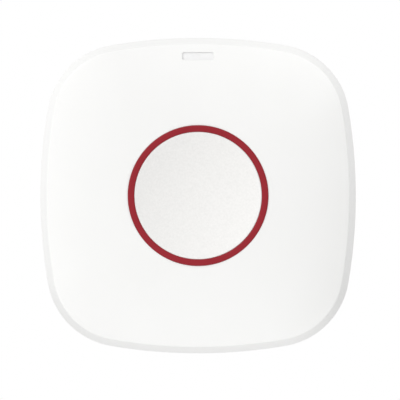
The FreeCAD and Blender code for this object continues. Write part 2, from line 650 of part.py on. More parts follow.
def build_rear_housing():
    """Back half of the case: floor, walls, battery well, screw pillars and the pin's guide tube."""
    body = new_body("rear_housing")
    shell = sketch_on(body, "shell", "back_standoff")
    outline(shell, "0")
    solid = extrude(body, shell, "parting_level - back_standoff")
    back_edges = edges_at(solid, number("back_standoff"))
    dress_edges(body, "Fillet", back_edges, "Radius", "back_edge_radius")

    cavity = sketch_on(body, "cavity", "parting_level")
    outline(cavity, "cover_wall")
    extrude(body, cavity, "parting_level - floor_front", cuts=True)
    for name, lift in (("plate_recess", "0"), ("plate_recess_low", "-housing_travel")):
        recess = sketch_on(body, name, "back_standoff")
        outline(recess, "plate_inset - plate_clearance", lift=lift)
        extrude(body, recess, "floor_back - back_standoff", cuts=True, backwards=True)

    tongue = sketch_on(body, "lap_tongue", "parting_level")
    outline(tongue, "lap_inset")
    outline(tongue, "cover_wall")
    extrude(body, tongue, "lap_height")

    pillars = sketch_on(body, "pillars", "floor_front")
    for x_sign, y_sign in CORNERS:
        circle(pillars, "pillar_radius", f"{x_sign}pillar_place", f"{y_sign}pillar_place")
    extrude(body, pillars, "pillar_top - floor_front")
    guide = sketch_on(body, "pin_guide", "floor_front")
    circle(guide, "guide_radius", y="tamper_y")
    extrude(body, guide, "guide_top - floor_front")

    doorway = sketch_on(body, "doorway", "floor_back")
    circle(doorway, "groove_radius")
    extrude(body, doorway, "floor_thickness", cuts=True, backwards=True)
    revolve(body, well_profile(body, "well"))
    notch = sketch_on(body, "lug_notch", plane="XZ_Plane")
    notch_corners = [
        ("door_radius - lug_reach", "floor_back - slide_gap"),
        ("groove_radius", "floor_back - slide_gap"),
        ("groove_radius", "groove_back + slide_gap"),
        ("door_radius - lug_reach", "groove_back + slide_gap"),
    ]
    profile(notch, notch_corners)
    notch.AttachmentOffset = FreeCAD.Placement(FreeCAD.Vector(), FreeCAD.Rotation(OPENING_WAY, 1))
    bind(notch, "AttachmentOffset.Rotation.Angle", "door_turn")
    first_notch = revolve(body, notch, "notch_angle", cuts=True, both_ways=True)
    repeat_round(body, first_notch, "lug_count", grows=False)

    slots = sketch_on(body, "hook_slots", "floor_back")
    slot_height = "housing_travel + hook_thickness + hook_slot_gap + hang_gap"
    for side in ("", "-"):
        for top in ("hook_upper_y", "hook_lower_y"):
            middle = f"{top} + hang_gap - ({slot_height}) / 2"
            block(slots, f"{side}hook_x", middle, "hook_width + 2 * hook_slot_gap", slot_height)
    extrude(body, slots, "floor_thickness", cuts=True, backwards=True)

    bores = sketch_on(body, "bores", "floor_back")
    circle(bores, "pin_radius + slide_gap", y="tamper_y")
    for x_sign, y_sign in CORNERS:
        x, y = f"{x_sign}pillar_place", f"{y_sign}pillar_place"
        circle(bores, "screw_radius + fit_gap", x, y)
    extrude(body, bores, "pillar_top - floor_back", cuts=True, backwards=True)
    sinks = sketch_on(body, "screw_sinks", "floor_back")
    for x_sign, y_sign in CORNERS:
        x, y = f"{x_sign}pillar_place", f"{y_sign}pillar_place"
        circle(sinks, "screw_head_radius + slide_gap", x, y)
    extrude(body, sinks, "screw_sink", cuts=True, backwards=True)

    window = sketch_on(body, "contact_window", "well_flange_top")
    cup_middle = "cup_radius + cup_wall / 2"
    block(window, cup_middle, "0", "2 * cup_wall", "contact_width + 4 * slide_gap")
    extrude(body, window, "cell_front - well_flange_top", cuts=True, backwards=True)
    return body


# Front cover

def build_front_cover():
    """Front half of the case: leaning side, crease, dome, opening for the ring and window slot."""
    body = new_body("front_cover")
    foot = sketch_on(body, "side_foot", "parting_level")
    outline(foot, "0")
    crease = sketch_on(body, "crease", "crease_level")
    outline(crease, "crease_inset")
    loft(body, [foot, crease], ruled=True)
    sections = [crease]
    for share in DOME_STEPS:
        rise = f"crease_level + dome_rise * (1 - {share} ^ dome_power)"
        section = sketch_on(body, "dome_section", rise)
        outline(section, "crease_inset", share=str(share))
        sections.append(section)
    loft(body, sections)

    mouth = sketch_on(body, "mouth", "parting_level")
    outline(mouth, "cover_wall")
    ceiling = sketch_on(body, "ceiling", "ceiling_level")
    outline(ceiling, "crease_inset + cover_wall")
    loft(body, [mouth, ceiling], cuts=True, ruled=True)
    hollow = sketch_on(body, "hollow", plane="XZ_Plane")
    hollow_corners = [
        ("0", "parting_level"),
        ("ceiling_edge_radius", "parting_level"),
        ("ceiling_edge_radius", "ceiling_level"),
        ("ceiling_flat_radius", "ceiling_top"),
        ("0", "ceiling_top"),
    ]
    profile(hollow, hollow_corners)
    revolve(body, hollow, cuts=True)
    rebate = sketch_on(body, "lap_rebate", "parting_level")
    outline(rebate, "lap_inset - fit_gap")
    extrude(body, rebate, "lap_height + fit_gap", cuts=True, backwards=True)

    bosses = sketch_on(body, "screw_bosses", "board_front")
    for x_sign, y_sign in CORNERS:
        circle(bosses, "pillar_radius", f"{x_sign}pillar_place", f"{y_sign}pillar_place")
    extrude(body, bosses, "ceiling_level - board_front + 2 * boss_root")
    necks = sketch_on(body, "boss_necks", "pillar_top")
    for x_sign, y_sign in CORNERS:
        circle(necks, "boss_neck_radius", f"{x_sign}pillar_place", f"{y_sign}pillar_place")
    extrude(body, necks, "board_front - pillar_top")
    board_bosses = sketch_on(body, "board_bosses", "board_front")
    for side in ("", "-"):
        circle(board_bosses, "board_boss_radius", f"{side}board_screw_x")
    extrude(body, board_bosses, "board_boss_top - board_front + boss_root")
    pilots = sketch_on(body, "pilot_holes", "pillar_top")
    for x_sign, y_sign in CORNERS:
        x, y = f"{x_sign}pillar_place", f"{y_sign}pillar_place"
        circle(pilots, "screw_radius + screw_hold_gap", x, y)
    extrude(body, pilots, "ceiling_level - pillar_top", cuts=True, backwards=True)
    board_pilots = sketch_on(body, "board_pilot_holes", "board_front")
    for side in ("", "-"):
        circle(board_pilots, "board_screw_radius + screw_hold_gap", f"{side}board_screw_x")
    extrude(body, board_pilots, "board_screw_length", cuts=True, backwards=True)

    opening = sketch_on(body, "ring_opening", "board_front")
    circle(opening, "aperture_radius")
    extrude(body, opening, "crown_level - board_front", cuts=True, backwards=True)
    slot = sketch_on(body, "window_slot", "board_front")
    rounded_block(slot, "0", "window_y", "window_width", "window_height", "window_corner")
    extrude(body, slot, "crown_level - board_front", cuts=True, backwards=True)
    return body


def build_indicator_window():
    """Milky light guide: its foot stands over the lamp and its end fills the slot in the face."""
    body = new_body("indicator_window")
    section = sketch_on(body, "guide_section", plane="YZ_Plane")
    face = "crease_level + dome_rise * (1 - (({}) / crease_half) ^ dome_power) - window_recess"
    inner = "window_low + fit_gap / 2"
    outer = "window_high - fit_gap / 2"
    corners = [
        (f"{inner} - window_shoulder", "window_foot_level"),
        (f"{outer} - window_foot_bevel", "window_foot_level"),
        (outer, "window_foot_level + window_foot_bevel"),
        (outer, face.format(outer)),
        (inner, face.format(inner)),
        (inner, "ceiling_level"),
        (f"{inner} - window_shoulder", "ceiling_level"),
    ]
    profile(section, corners)
    guide = extrude(body, section, "window_width - fit_gap", both_ways=True)
    upright = edges_along_axis(guide, number(inner)) + edges_along_axis(guide, number(outer))
    dress_edges(body, "Fillet", upright, "Radius", "window_corner - fit_gap / 2")
    return body


# Button

def build_button_ring():
    """Red trim ring in one piece with the sleeve that guides the cap and the flange under the cover."""
    body = new_body("button_ring")
    section = sketch_on(body, "ring_section", plane="XZ_Plane")
    corners = [
        ("ring_inner_radius", "ring_sleeve_end"),
        ("ring_outer_radius", "ring_sleeve_end"),
        ("ring_outer_radius", "ring_flange_level"),
        ("ring_flange_radius", "ring_flange_level"),
        ("ring_flange_radius", "ceiling_top"),
        ("ring_outer_radius", "ceiling_top"),
        ("ring_outer_radius", "ring_edge_level"),
        ("ring_outer_radius - ring_bevel", "ring_crest_level"),
        ("ring_inner_radius + ring_bevel", "ring_crest_level"),
        ("ring_inner_radius", "ring_edge_level"),
    ]
    profile(section, corners)
    revolve(body, section)
    return body


def build_button_cap():
    """Round cap with a shallow dish, a skirt in the sleeve, three snap legs and a post."""
    body = new_body("button_cap")
    section = sketch_on(body, "cap_section", plane="XZ_Plane")
    underside = "dish_level - cap_skin"
    corners = [
        ("0", "cap_skirt_end"),
        ("cap_post_radius", "cap_skirt_end"),
        ("cap_post_radius", underside),
        ("cap_radius - cap_skirt", underside),
        ("cap_radius - cap_skirt", "cap_skirt_end"),
        ("cap_radius", "cap_skirt_end"),
        ("cap_radius", "cap_rim_level - cap_bevel"),
        ("dish_edge", "cap_rim_level", "-cap_dish_radius"),
        ("0", "dish_level"),
    ]
    profile(section, corners)
    revolve(body, section)

    leg = sketch_on(body, "leg_section", plane="XZ_Plane")
    barb_top = "ring_sleeve_end - pin_gap"
    leg_corners = [
        ("cap_radius - cap_leg_wall", "cap_skirt_end + cap_bevel"),
        ("cap_radius - cap_leg_wall", f"{barb_top} - cap_barb_height"),
        ("cap_radius", f"{barb_top} - cap_barb_height"),
        ("cap_radius + cap_barb_reach", barb_top),
        ("cap_radius", barb_top),
        ("cap_radius", "cap_skirt_end + cap_bevel"),
    ]
    profile(leg, leg_corners)
    first_leg = revolve(body, leg, "cap_leg_angle", both_ways=True)
    repeat_round(body, first_leg, "cap_leg_count")
    return body


def build_return_pad():
    """Silicone dome that carries the cap and springs it back."""
    body = new_body("return_pad")
    section = sketch_on(body, "pad_section", plane="XZ_Plane")
    foot_top = "board_front + rest_pad_foot_height"
    pill_top = "pill_level + pill_height"
    corners = [
        ("rest_pad_radius - rest_pad_foot", "board_front"),
        ("rest_pad_radius", "board_front"),
        ("rest_pad_radius", foot_top),
        ("rest_pad_radius - rest_pad_foot / 2", foot_top),
        ("rest_pad_crown_radius", f"{pill_top} + rest_pad_web"),
        ("rest_pad_crown_radius", "cap_skirt_end"),
        ("0", "cap_skirt_end"),
        ("0", pill_top),
        ("pill_radius + rest_pad_web", pill_top),
        ("rest_pad_radius - rest_pad_foot", f"{foot_top} - rest_pad_web / 4"),
    ]
    profile(section, corners)
    revolve(body, section)
    return body


def build_contact_pill():
    """Conductive disc under the dome."""
    body = new_body("contact_pill")
    disc = sketch_on(body, "pill", "pill_level")
    circle(disc, "pill_radius")
    extrude(body, disc, "pill_height")
    return body


# Circuit board

def build_circuit_board():
    """Board that follows the outline of the case, with holes for the bosses and the board screws."""
    body = new_body("circuit_board")
    board = sketch_on(body, "board_outline", "board_level")
    outline(board, "board_inset")
    for x_sign, y_sign in CORNERS:
        x, y = f"{x_sign}pillar_place", f"{y_sign}pillar_place"
        circle(board, "boss_neck_radius + slide_gap", x, y)
    for side in ("", "-"):
        circle(board, "board_screw_radius + slide_gap", f"{side}board_screw_x")
    extrude(body, board, "board_thickness")
    return body


def build_contact_pads():
    """Two half discs of plated copper that the pill joins."""
    body = new_body("contact_pads")
    disc = sketch_on(body, "pads", "board_front")
    circle(disc, "pad_radius")
    extrude(body, disc, "pad_thickness")
    split = sketch_on(body, "pad_gap", "board_front + pad_thickness")
    block(split, "0", "0", "pad_split", "2 * pad_radius + pad_split")
    extrude(body, split, "pad_thickness", cuts=True)
    return body


def build_radio_module():
    body = new_body("radio_module")
    base = sketch_on(body, "module_board", "board_front")
    block(base, "module_x", "chip_y", "module_length", "module_width")
    extrude(body, base, "module_base")
    can = sketch_on(body, "shield_can", "board_front + module_base")
    can_length = "module_length - 2 * module_can_rim"
    can_width = "module_width - 2 * module_can_rim"
    block(can, "module_x", "chip_y", can_length, can_width)
    extrude(body, can, "module_can_height")
    return body


def build_microcontroller():
    body = new_body("microcontroller")
    chip = sketch_on(body, "chip", "board_front")
    block(chip, "chip_x", "chip_y", "chip_side", "chip_side")
    extrude(body, chip, "chip_height")
    return body


def build_board_parts():
    """Small parts in two rows beside the button, and the crystal beside the radio."""
    body = new_body("board_parts")
    rows = sketch_on(body, "small_parts", "board_front")
    for side in ("", "-"):
        for step in range(ROW_COUNT):
            y = f"small_part_y + {step} * small_part_pitch"
            block(rows, f"{side}small_part_x", y, "small_part_length", "small_part_width")
    extrude(body, rows, "small_part_height")
    crystal = sketch_on(body, "crystal", "board_front")
    crystal_x = "(module_x + module_length / 2 + chip_x - chip_side / 2) / 2"
    rounded_block(crystal, crystal_x, "chip_y", "crystal_length", "crystal_width", "crystal_width / 2.5")
    extrude(body, crystal, "crystal_height")
    return body


def build_antenna():
    """Stamped strip on two feet along the lower edge of the board."""
    body = new_body("antenna")
    section = sketch_on(body, "antenna_strip_shape", "-antenna_y", plane="XZ_Plane")
    right = "antenna_left + antenna_length"
    top = "board_front + antenna_height"
    corners = [
        ("antenna_left", "board_front"),
        ("antenna_left + antenna_foot", "board_front"),
        ("antenna_left + antenna_foot", f"{top} - antenna_strip"),
        (f"{right} - antenna_foot", f"{top} - antenna_strip"),
        (f"{right} - antenna_foot", "board_front"),
        (right, "board_front"),
        (right, top),
        ("antenna_left", top),
    ]
    profile(section, corners)
    extrude(body, section, "antenna_width", both_ways=True)
    return body


def build_indicator_led():
    body = new_body("indicator_led")
    base = sketch_on(body, "lamp_body", "board_front")
    block(base, "0", "lamp_y", "lamp_length", "lamp_width")
    extrude(body, base, "lamp_base")
    lens = sketch_on(body, "lamp_lens", "board_front + lamp_base")
    lens_length = "lamp_length - 2 * lamp_lens_inset"
    lens_width = "lamp_width - 2 * lamp_lens_inset"
    rounded_block(lens, "0", "lamp_y", lens_length, lens_width, "lamp_lens_inset")
    extrude(body, lens, "lamp_lens_height")
    return body


def build_tamper_switch():
    body = new_body("tamper_switch")
    case = sketch_on(body, "switch_case", "board_level - switch_height")
    block(case, "0", "tamper_y", "switch_side", "switch_side")
    extrude(body, case, "switch_height")
    plunger = sketch_on(body, "switch_plunger", "board_level - switch_height")
    circle(plunger, "switch_plunger_radius", y="tamper_y")
    extrude(body, plunger, "switch_plunger_height", backwards=True)
    return body


# Battery and its contacts

def build_coin_cell():
    body = new_body("coin_cell")
    section = sketch_on(body, "cell_section", plane="XZ_Plane")
    step = "cell_front - cell_step_height"
    corners = [
        ("0", "cell_level"),
        ("cell_radius - cell_edge", "cell_level"),
        ("cell_radius", "cell_level + cell_edge"),
        ("cell_radius", f"{step} - cell_edge"),
        ("cell_radius - cell_edge", step),
        ("cell_step_radius", step),
        ("cell_step_radius", "cell_front"),
        ("0", "cell_front"),
    ]
    profile(section, corners)
    revolve(body, section)
    return body


def build_side_contact():
    """Spring that comes through the window in the cup and presses on the side of the can."""
    body = new_body("battery_contact_positive")
    section = sketch_on(body, "side_spring", plane="XZ_Plane")
    touch = "cell_radius + contact_gap"
    stand = "cup_radius + cup_wall / 2"
    knee = "board_level - side_contact_drop / 3"
    touch_level = "board_level - 2 * side_contact_drop / 3"
    end_level = "board_level - side_contact_drop"
    corners = [
        (f"{stand} + contact_strip", "board_level - contact_strip"),
        (f"{stand} + contact_foot", "board_level - contact_strip"),
        (f"{stand} + contact_foot", "board_level"),
        (stand, "board_level"),
        (stand, knee),
        (touch, touch_level),
        (f"{touch} + contact_strip", end_level),
        (f"{touch} + 2 * contact_strip", end_level),
        (f"{touch} + contact_strip", touch_level),
        (f"{stand} + contact_strip", knee),
    ]
    profile(section, corners)
    extrude(body, section, "contact_width", both_ways=True)
    return body


def build_face_contact():
    """Leaf spring under the board that presses on the raised face of the cell."""
    body = new_body("battery_contact_negative")
    section = sketch_on(body, "face_spring", plane="XZ_Plane")
    touch = "cell_front + contact_gap"
    bend = "face_contact_reach - contact_foot"
    corners = [
        ("-contact_foot / 2", f"{touch} + contact_strip"),
        ("0", touch),
        ("contact_foot / 3", touch),
        (bend, "board_level - contact_strip"),
        ("face_contact_reach", "board_level - contact_strip"),
        ("face_contact_reach", "board_level"),
        (bend, "board_level"),
        ("contact_foot / 3", f"{touch} + contact_strip"),
        ("0", f"{touch} + contact_strip"),
        ("-contact_foot / 2", f"{touch} + 2 * contact_strip"),
    ]
    profile(section, corners)
    extrude(body, section, "contact_width", both_ways=True)
    return body


def build_battery_cover():
    """Round door with three bayonet lugs, a pad that presses on the cell and a slot for a coin."""
    body = new_body("battery_cover")
    section = sketch_on(body, "door_section", plane="XZ_Plane")
    rim_top = "groove_front - lug_gap"
    inside = "floor_back + door_skin"
    corners = [
        ("0", "floor_back"),
        ("door_radius", "floor_back"),
        ("door_radius", rim_top),
        ("door_radius - door_rim_width", rim_top),
        ("door_radius - door_rim_width", inside),
        ("door_pad_radius", inside),
        ("door_pad_radius", "cell_level - contact_gap"),
        ("0", "cell_level - contact_gap"),
    ]
    profile(section, corners)
    revolve(body, section)
    lug = sketch_on(body, "lug_section", plane="XZ_Plane")
    lug_corners = [
        ("door_radius - door_rim_width / 2", "groove_back + lug_gap"),
        ("door_radius + lug_reach", "groove_back + lug_gap"),
        ("door_radius + lug_reach", rim_top),
        ("door_radius - door_rim_width / 2", rim_top),
    ]
    profile(lug, lug_corners)
    first_lug = revolve(body, lug, "lug_angle", both_ways=True)
    repeat_round(body, first_lug, "lug_count")
    slot = sketch_on(body, "coin_slot", "floor_back")
    rounded_block(slot, "0", "0", "coin_slot_length", "coin_slot_width", "coin_slot_width / 2.5")
    extrude(body, slot, "coin_slot_depth", cuts=True, backwards=True)
    return body


# Screws and pin

def build_housing_screws():
    """Four pan-head screws from the back through the pillars into the cover's bosses."""
    body = new_body("housing_screws")
    seat = "floor_back + screw_sink"
    heads = sketch_on(body, "screw_heads", seat)
    shanks = sketch_on(body, "screw_shanks", seat)
    for x_sign, y_sign in CORNERS:
        x, y = f"{x_sign}pillar_place", f"{y_sign}pillar_place"
        circle(heads, "screw_head_radius", x, y)
        circle(shanks, "screw_radius", x, y)
    extrude(body, heads, "screw_head_height", backwards=True)
    extrude(body, shanks, "screw_length")
    return body


def build_board_screws():
    """Two screws that hold the board against its bosses in the cover."""
    body = new_body("board_screws")
    heads = sketch_on(body, "board_screw_heads", "board_level")
    shanks = sketch_on(body, "board_screw_shanks", "board_level")
    for side in ("", "-"):
        circle(heads, "board_screw_head_radius", f"{side}board_screw_x")
        circle(shanks, "board_screw_radius", f"{side}board_screw_x")
    extrude(body, heads, "board_screw_head_height", backwards=True)
    extrude(body, shanks, "board_screw_length")
    return body


def build_tamper_pin():
    """Pin in the guide tube: the plate holds it in until the housing slides up."""
    body = new_body("tamper_pin")
    stem = sketch_on(body, "pin_stem", "plate_thickness + pin_gap + pin_tip_radius")
    circle(stem, "pin_radius", y="tamper_y")
    extrude(body, stem, "pin_head_level - (plate_thickness + pin_gap + pin_tip_radius)")
    tip = sketch_on(body, "pin_tip", "plate_thickness + pin_gap")
    circle(tip, "pin_tip_radius", y="tamper_y")
    root = sketch_on(body, "pin_root", "plate_thickness + pin_gap + pin_tip_radius")
    circle(root, "pin_radius", y="tamper_y")
    loft(body, [tip, root])
    head = sketch_on(body, "pin_head", "pin_head_level")
    circle(head, "pin_head_radius", y="tamper_y")
    extrude(body, head, "pin_head_height")
    return body


def build_all():
    return [
        build_wall_plate(),
        build_rear_housing(),
        build_front_cover(),
        build_indicator_window(),
        build_button_ring(),
        build_button_cap(),
        build_return_pad(),
        build_contact_pill(),
        build_circuit_board(),
        build_contact_pads(),
        build_radio_module(),
        build_microcontroller(),
        build_board_parts(),
        build_antenna(),
        build_indicator_led(),
        build_tamper_switch(),
        build_coin_cell(),
        build_side_contact(),
        build_face_contact(),
        build_battery_cover(),
        build_housing_screws(),
        build_board_screws(),
        build_tamper_pin(),
    ]


def check(bodies):
    """Stop if anything failed to compute, or if a piece is empty or not valid."""
    for item in doc.Objects:
        if "Invalid" in item.State or "Error" in item.State:
            raise RuntimeError(f"{item.Label} failed: {item.State}")
    for body in bodies:
        if body.Shape.isNull() or not body.Shape.isValid() or not body.Shape.Solids:
            raise RuntimeError(f"{body.Label} has no valid solid")


def export(bodies):
    os.makedirs("parts", exist_ok=True)
    for body in bodies:
        body.Shape.exportStep(f"parts/{body.Label}.step")
        print(f"{body.Label}: {len(body.Shape.Solids)} solid(s), {body.Shape.Volume:.1f} mm3")


pieces = build_all()
doc.recompute()
check(pieces)
export(pieces)
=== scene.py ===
# %% [markdown]
# A wireless panic button for a wall: a white housing, a dished push cap and a red ring round it.
# The solids of all pieces arrive at their real size, and this notebook gives them their looks.
# Pieces that show are modelled again with soft edges, and each finish is built from nodes.

# %% The solids
import json
import math
import bpy
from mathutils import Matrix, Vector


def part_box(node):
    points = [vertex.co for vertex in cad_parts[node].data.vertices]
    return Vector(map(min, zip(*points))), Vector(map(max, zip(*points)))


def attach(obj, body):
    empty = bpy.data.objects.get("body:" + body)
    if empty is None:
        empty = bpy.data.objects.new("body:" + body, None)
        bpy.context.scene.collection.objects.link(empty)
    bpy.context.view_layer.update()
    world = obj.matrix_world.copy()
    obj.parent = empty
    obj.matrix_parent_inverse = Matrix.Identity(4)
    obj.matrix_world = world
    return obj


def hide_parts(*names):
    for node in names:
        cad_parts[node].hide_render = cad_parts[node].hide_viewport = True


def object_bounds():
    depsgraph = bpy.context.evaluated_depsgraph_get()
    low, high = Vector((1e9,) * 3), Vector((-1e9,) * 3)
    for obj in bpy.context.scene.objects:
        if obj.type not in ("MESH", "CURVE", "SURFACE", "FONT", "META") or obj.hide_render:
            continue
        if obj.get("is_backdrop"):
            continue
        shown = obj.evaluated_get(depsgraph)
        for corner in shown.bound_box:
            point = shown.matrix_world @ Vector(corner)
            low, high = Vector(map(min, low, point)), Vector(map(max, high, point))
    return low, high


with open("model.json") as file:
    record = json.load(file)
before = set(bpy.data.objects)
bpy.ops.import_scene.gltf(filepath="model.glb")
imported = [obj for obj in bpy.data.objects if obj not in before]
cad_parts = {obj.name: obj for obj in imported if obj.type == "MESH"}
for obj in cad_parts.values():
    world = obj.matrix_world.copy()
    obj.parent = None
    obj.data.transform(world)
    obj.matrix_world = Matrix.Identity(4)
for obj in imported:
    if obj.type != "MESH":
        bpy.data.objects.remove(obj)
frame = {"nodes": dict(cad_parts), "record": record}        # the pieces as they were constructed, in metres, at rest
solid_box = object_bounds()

MM = 0.001
print("pieces:", ", ".join(sorted(frame["nodes"])))

# %% [markdown]
# The wall is the plane y = 0 and the face looks along -Y, so a level here is a distance from the
# wall. The outline's two radii and the dome's curve are the ones that the solid cover has.

# %% Sizes of the front
HALF_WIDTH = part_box("front_cover")[1].x
PARTING_LEVEL = 8.0 * MM
CREASE_LEVEL = 17.0 * MM
CREASE_INSET = 1.3 * MM
SIDE_BOW = 107.7 * MM
CORNER_BEND = 16.0 * MM
DOME_RISE = 4.0 * MM
DOME_POWER = 3.5
crease_half = HALF_WIDTH - CREASE_INSET
print(f"{2 * HALF_WIDTH / MM:.1f} mm across, the dome rises {DOME_RISE / MM:.1f} mm")

# %% [markdown]
# A pencil draws an outline from a point, and the same way works in edit mode: a point is extruded
# along straight lines and spun along arcs. A primitive plane whose corners are merged gives the
# point. Tests on places pick points and edges, because there is no mouse in a script.

# %% Drawing and picking
MERGE = 0.001 * MM


def only(piece):
    """Deselect everything and make this piece the active one."""
    bpy.ops.object.select_all(action="DESELECT")
    piece.select_set(True)
    bpy.context.view_layer.objects.active = piece


def new_mesh(name):
    """An empty mesh at the origin, in edit mode."""
    bpy.ops.object.select_all(action="DESELECT")
    bpy.ops.mesh.primitive_plane_add(size=MM, location=(0, 0, 0))
    piece = bpy.context.object
    piece.name = piece.data.name = name
    bpy.ops.object.mode_set(mode="EDIT")
    bpy.ops.mesh.select_mode(type="VERT")
    bpy.ops.mesh.delete(type="VERT")
    return piece


def start_point(place):
    """One selected point in the mesh that is being edited."""
    bpy.ops.mesh.primitive_plane_add(size=MM, location=place)
    bpy.ops.mesh.merge(type="CENTER")


def pick_points(piece, test):
    """Select the points whose place passes a test, and stay in edit mode."""
    bpy.ops.mesh.select_mode(type="VERT")
    bpy.ops.mesh.select_all(action="DESELECT")
    bpy.ops.object.mode_set(mode="OBJECT")
    for point in piece.data.vertices:
        point.select = bool(test(point.co))
    bpy.ops.object.mode_set(mode="EDIT")


def pick_edges(piece, test):
    """Select the edges whose two end places pass a test, and stay in edit mode."""
    bpy.ops.mesh.select_mode(type="EDGE")
    bpy.ops.mesh.select_all(action="DESELECT")
    bpy.ops.object.mode_set(mode="OBJECT")
    points = piece.data.vertices
    for edge in piece.data.edges:
        first, second = edge.vertices
        edge.select = bool(test(points[first].co, points[second].co))
    bpy.ops.object.mode_set(mode="EDIT")


def close_up():
    """Merge doubled points of the whole mesh."""
    bpy.ops.mesh.select_all(action="SELECT")
    bpy.ops.mesh.remove_doubles(threshold=MERGE)

# %% [markdown]
# Moulded plastic has no edge that is truly sharp. A bevel on the edges above an angle rounds them,
# and Weighted Normal keeps the large faces flat to the light, so that only the narrow rounding
# catches a highlight.

# %% Softening
SHARP_ANGLE = 38


def apply_modifier(piece, kind, **settings):
    """Add a modifier with these settings and apply it."""
    only(piece)
    modifier = piece.modifiers.new(kind.title(), kind)
    for setting, value in settings.items():
        setattr(modifier, setting, value)
    bpy.ops.object.modifier_apply(modifier=modifier.name)


def soften_edges(piece, width, segments=3, angle=SHARP_ANGLE):
    """Round the sharp edges."""
    apply_modifier(piece, "BEVEL", width=width, segments=segments, limit_method="ANGLE",
                   angle_limit=math.radians(angle))


def shade_soft(piece):
    """Shade the piece smooth, with the large faces flat to the light."""
    only(piece)
    bpy.ops.object.shade_smooth_by_angle(angle=math.radians(SHARP_ANGLE))
    apply_modifier(piece, "WEIGHTED_NORMAL", mode="FACE_AREA", keep_sharp=True)
    print(f"{piece.name}: {len(piece.data.polygons)} faces")


def stand_for(piece, node, body):
    """The piece takes the place of a solid and moves with its body."""
    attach(piece, body)
    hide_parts(node)

# %% [markdown]
# The outline of the housing is four shallow arcs joined by four tighter ones, all tangent.
# Spinning a point about the centre of each arc in turn draws it exactly. Outlines with the same
# centres and other radii are parallel, so their points match one to one.

# %% The outline as spun arcs
SIDE_STEPS = 36
CORNER_STEPS = 20
bow_centre = SIDE_BOW - HALF_WIDTH
corner_place = (math.sqrt(2 * (SIDE_BOW - CORNER_BEND) ** 2 - bow_centre ** 2) - bow_centre) / 2
half_side = math.atan2(corner_place, corner_place + bow_centre)


def draw_outline(inset, level):
    """A closed outline, parallel to the widest one and smaller by an inset."""
    bow = SIDE_BOW - inset
    start_point((bow * math.cos(half_side) - bow_centre, -level, -bow * math.sin(half_side)))
    for side in range(4):
        facing = math.radians(90 * side)
        centre = (-bow_centre * math.cos(facing), -level, -bow_centre * math.sin(facing))
        bpy.ops.mesh.spin(steps=SIDE_STEPS, angle=2 * half_side, center=centre, axis=(0, 1, 0))
        facing += math.radians(45)
        reach = corner_place * math.sqrt(2)
        centre = (reach * math.cos(facing), -level, reach * math.sin(facing))
        bend = math.radians(90) - 2 * half_side
        bpy.ops.mesh.spin(steps=CORNER_STEPS, angle=bend, center=centre, axis=(0, 1, 0))


print(f"each side turns {2 * math.degrees(half_side):.1f} degrees")

# %% [markdown]
# The dome is the crease outline drawn smaller and smaller while it rises, in small steps near the
# edge where it falls away fastest. Each step is an extrude of the last outline, a resize about
# the middle and a move outwards. This first dome is a form to lay other points on.

# %% The dome as shrinking outlines
DOME_STEPS = 20
DOME_END = 0.5        # share of the crease's size where the cover's own outlines end
DOME_GATHER = 1.15    # above 1, the outlines gather near the edge
MIDDLE_STEPS = 3
MIDDLE_STEP = 0.05


def dome_level(share):
    """The level of the dome where its outline has this share of the crease's size."""
    return CREASE_LEVEL + DOME_RISE * (1 - share ** DOME_POWER)


def raise_dome(shares):
    """Extrude the selected crease outline through these shares of its size."""
    last = 1.0
    for share in shares:
        bpy.ops.mesh.extrude_region_move()
        shrink = share / last
        bpy.ops.transform.resize(value=(shrink, 1, shrink), center_override=(0, 0, 0))
        lift = dome_level(share) - dome_level(last)
        bpy.ops.transform.translate(value=(0, -lift, 0))
        last = share


edge_shares = [1 - (1 - DOME_END) * (step / DOME_STEPS) ** DOME_GATHER
               for step in range(1, DOME_STEPS + 1)]
middle_shares = [DOME_END - MIDDLE_STEP * step for step in range(1, MIDDLE_STEPS + 1)]
dome_form = new_mesh("dome_form")
draw_outline(CREASE_INSET, CREASE_LEVEL)
close_up()
raise_dome(edge_shares + middle_shares)
bpy.ops.object.mode_set(mode="OBJECT")
print(f"dome form: {len(dome_form.data.vertices)} points")

# %% [markdown]
# The outside of the front cover is drawn in one go: the leaning side from the parting line up to
# the crease, the dome, and two last outlines that To Sphere turns round for the opening.
# Shrinkwrap lays those two back on the form, so the opening follows the dome.

# %% Front cover: the outside
OPENING_RADIUS = 14.715 * MM
OPENING_STEP = 1.2 * MM
SIDE_ROWS = 3
HALF_ROUND = 0.5
FULLY_ROUND = 1.0


def selected_radius(piece):
    """The mean distance of the selected points from the middle of the face."""
    bpy.ops.object.mode_set(mode="OBJECT")
    places = [point.co for point in piece.data.vertices if point.select]
    bpy.ops.object.mode_set(mode="EDIT")
    return sum(math.hypot(place.x, place.z) for place in places) / len(places)


face_shell = new_mesh("face_shell")
draw_outline(0, PARTING_LEVEL)
draw_outline(CREASE_INSET, CREASE_LEVEL)
close_up()
bpy.ops.mesh.bridge_edge_loops(number_cuts=SIDE_ROWS)
pick_points(face_shell, lambda place: abs(place.y + CREASE_LEVEL) < MERGE)
raise_dome(edge_shares)
for roundness, radius in ((HALF_ROUND, OPENING_RADIUS + OPENING_STEP),
                          (FULLY_ROUND, OPENING_RADIUS)):
    bpy.ops.mesh.extrude_region_move()
    bpy.ops.transform.tosphere(value=roundness)
    fit = radius / selected_radius(face_shell)
    bpy.ops.transform.resize(value=(fit, 1, fit), center_override=(0, 0, 0))
bpy.ops.object.mode_set(mode="OBJECT")
apply_modifier(face_shell, "SHRINKWRAP", target=dome_form, wrap_method="PROJECT",
               use_project_y=True, use_negative_direction=True, use_positive_direction=True)
bpy.data.objects.remove(dome_form)
print(f"front cover: {len(face_shell.data.vertices)} points outside")

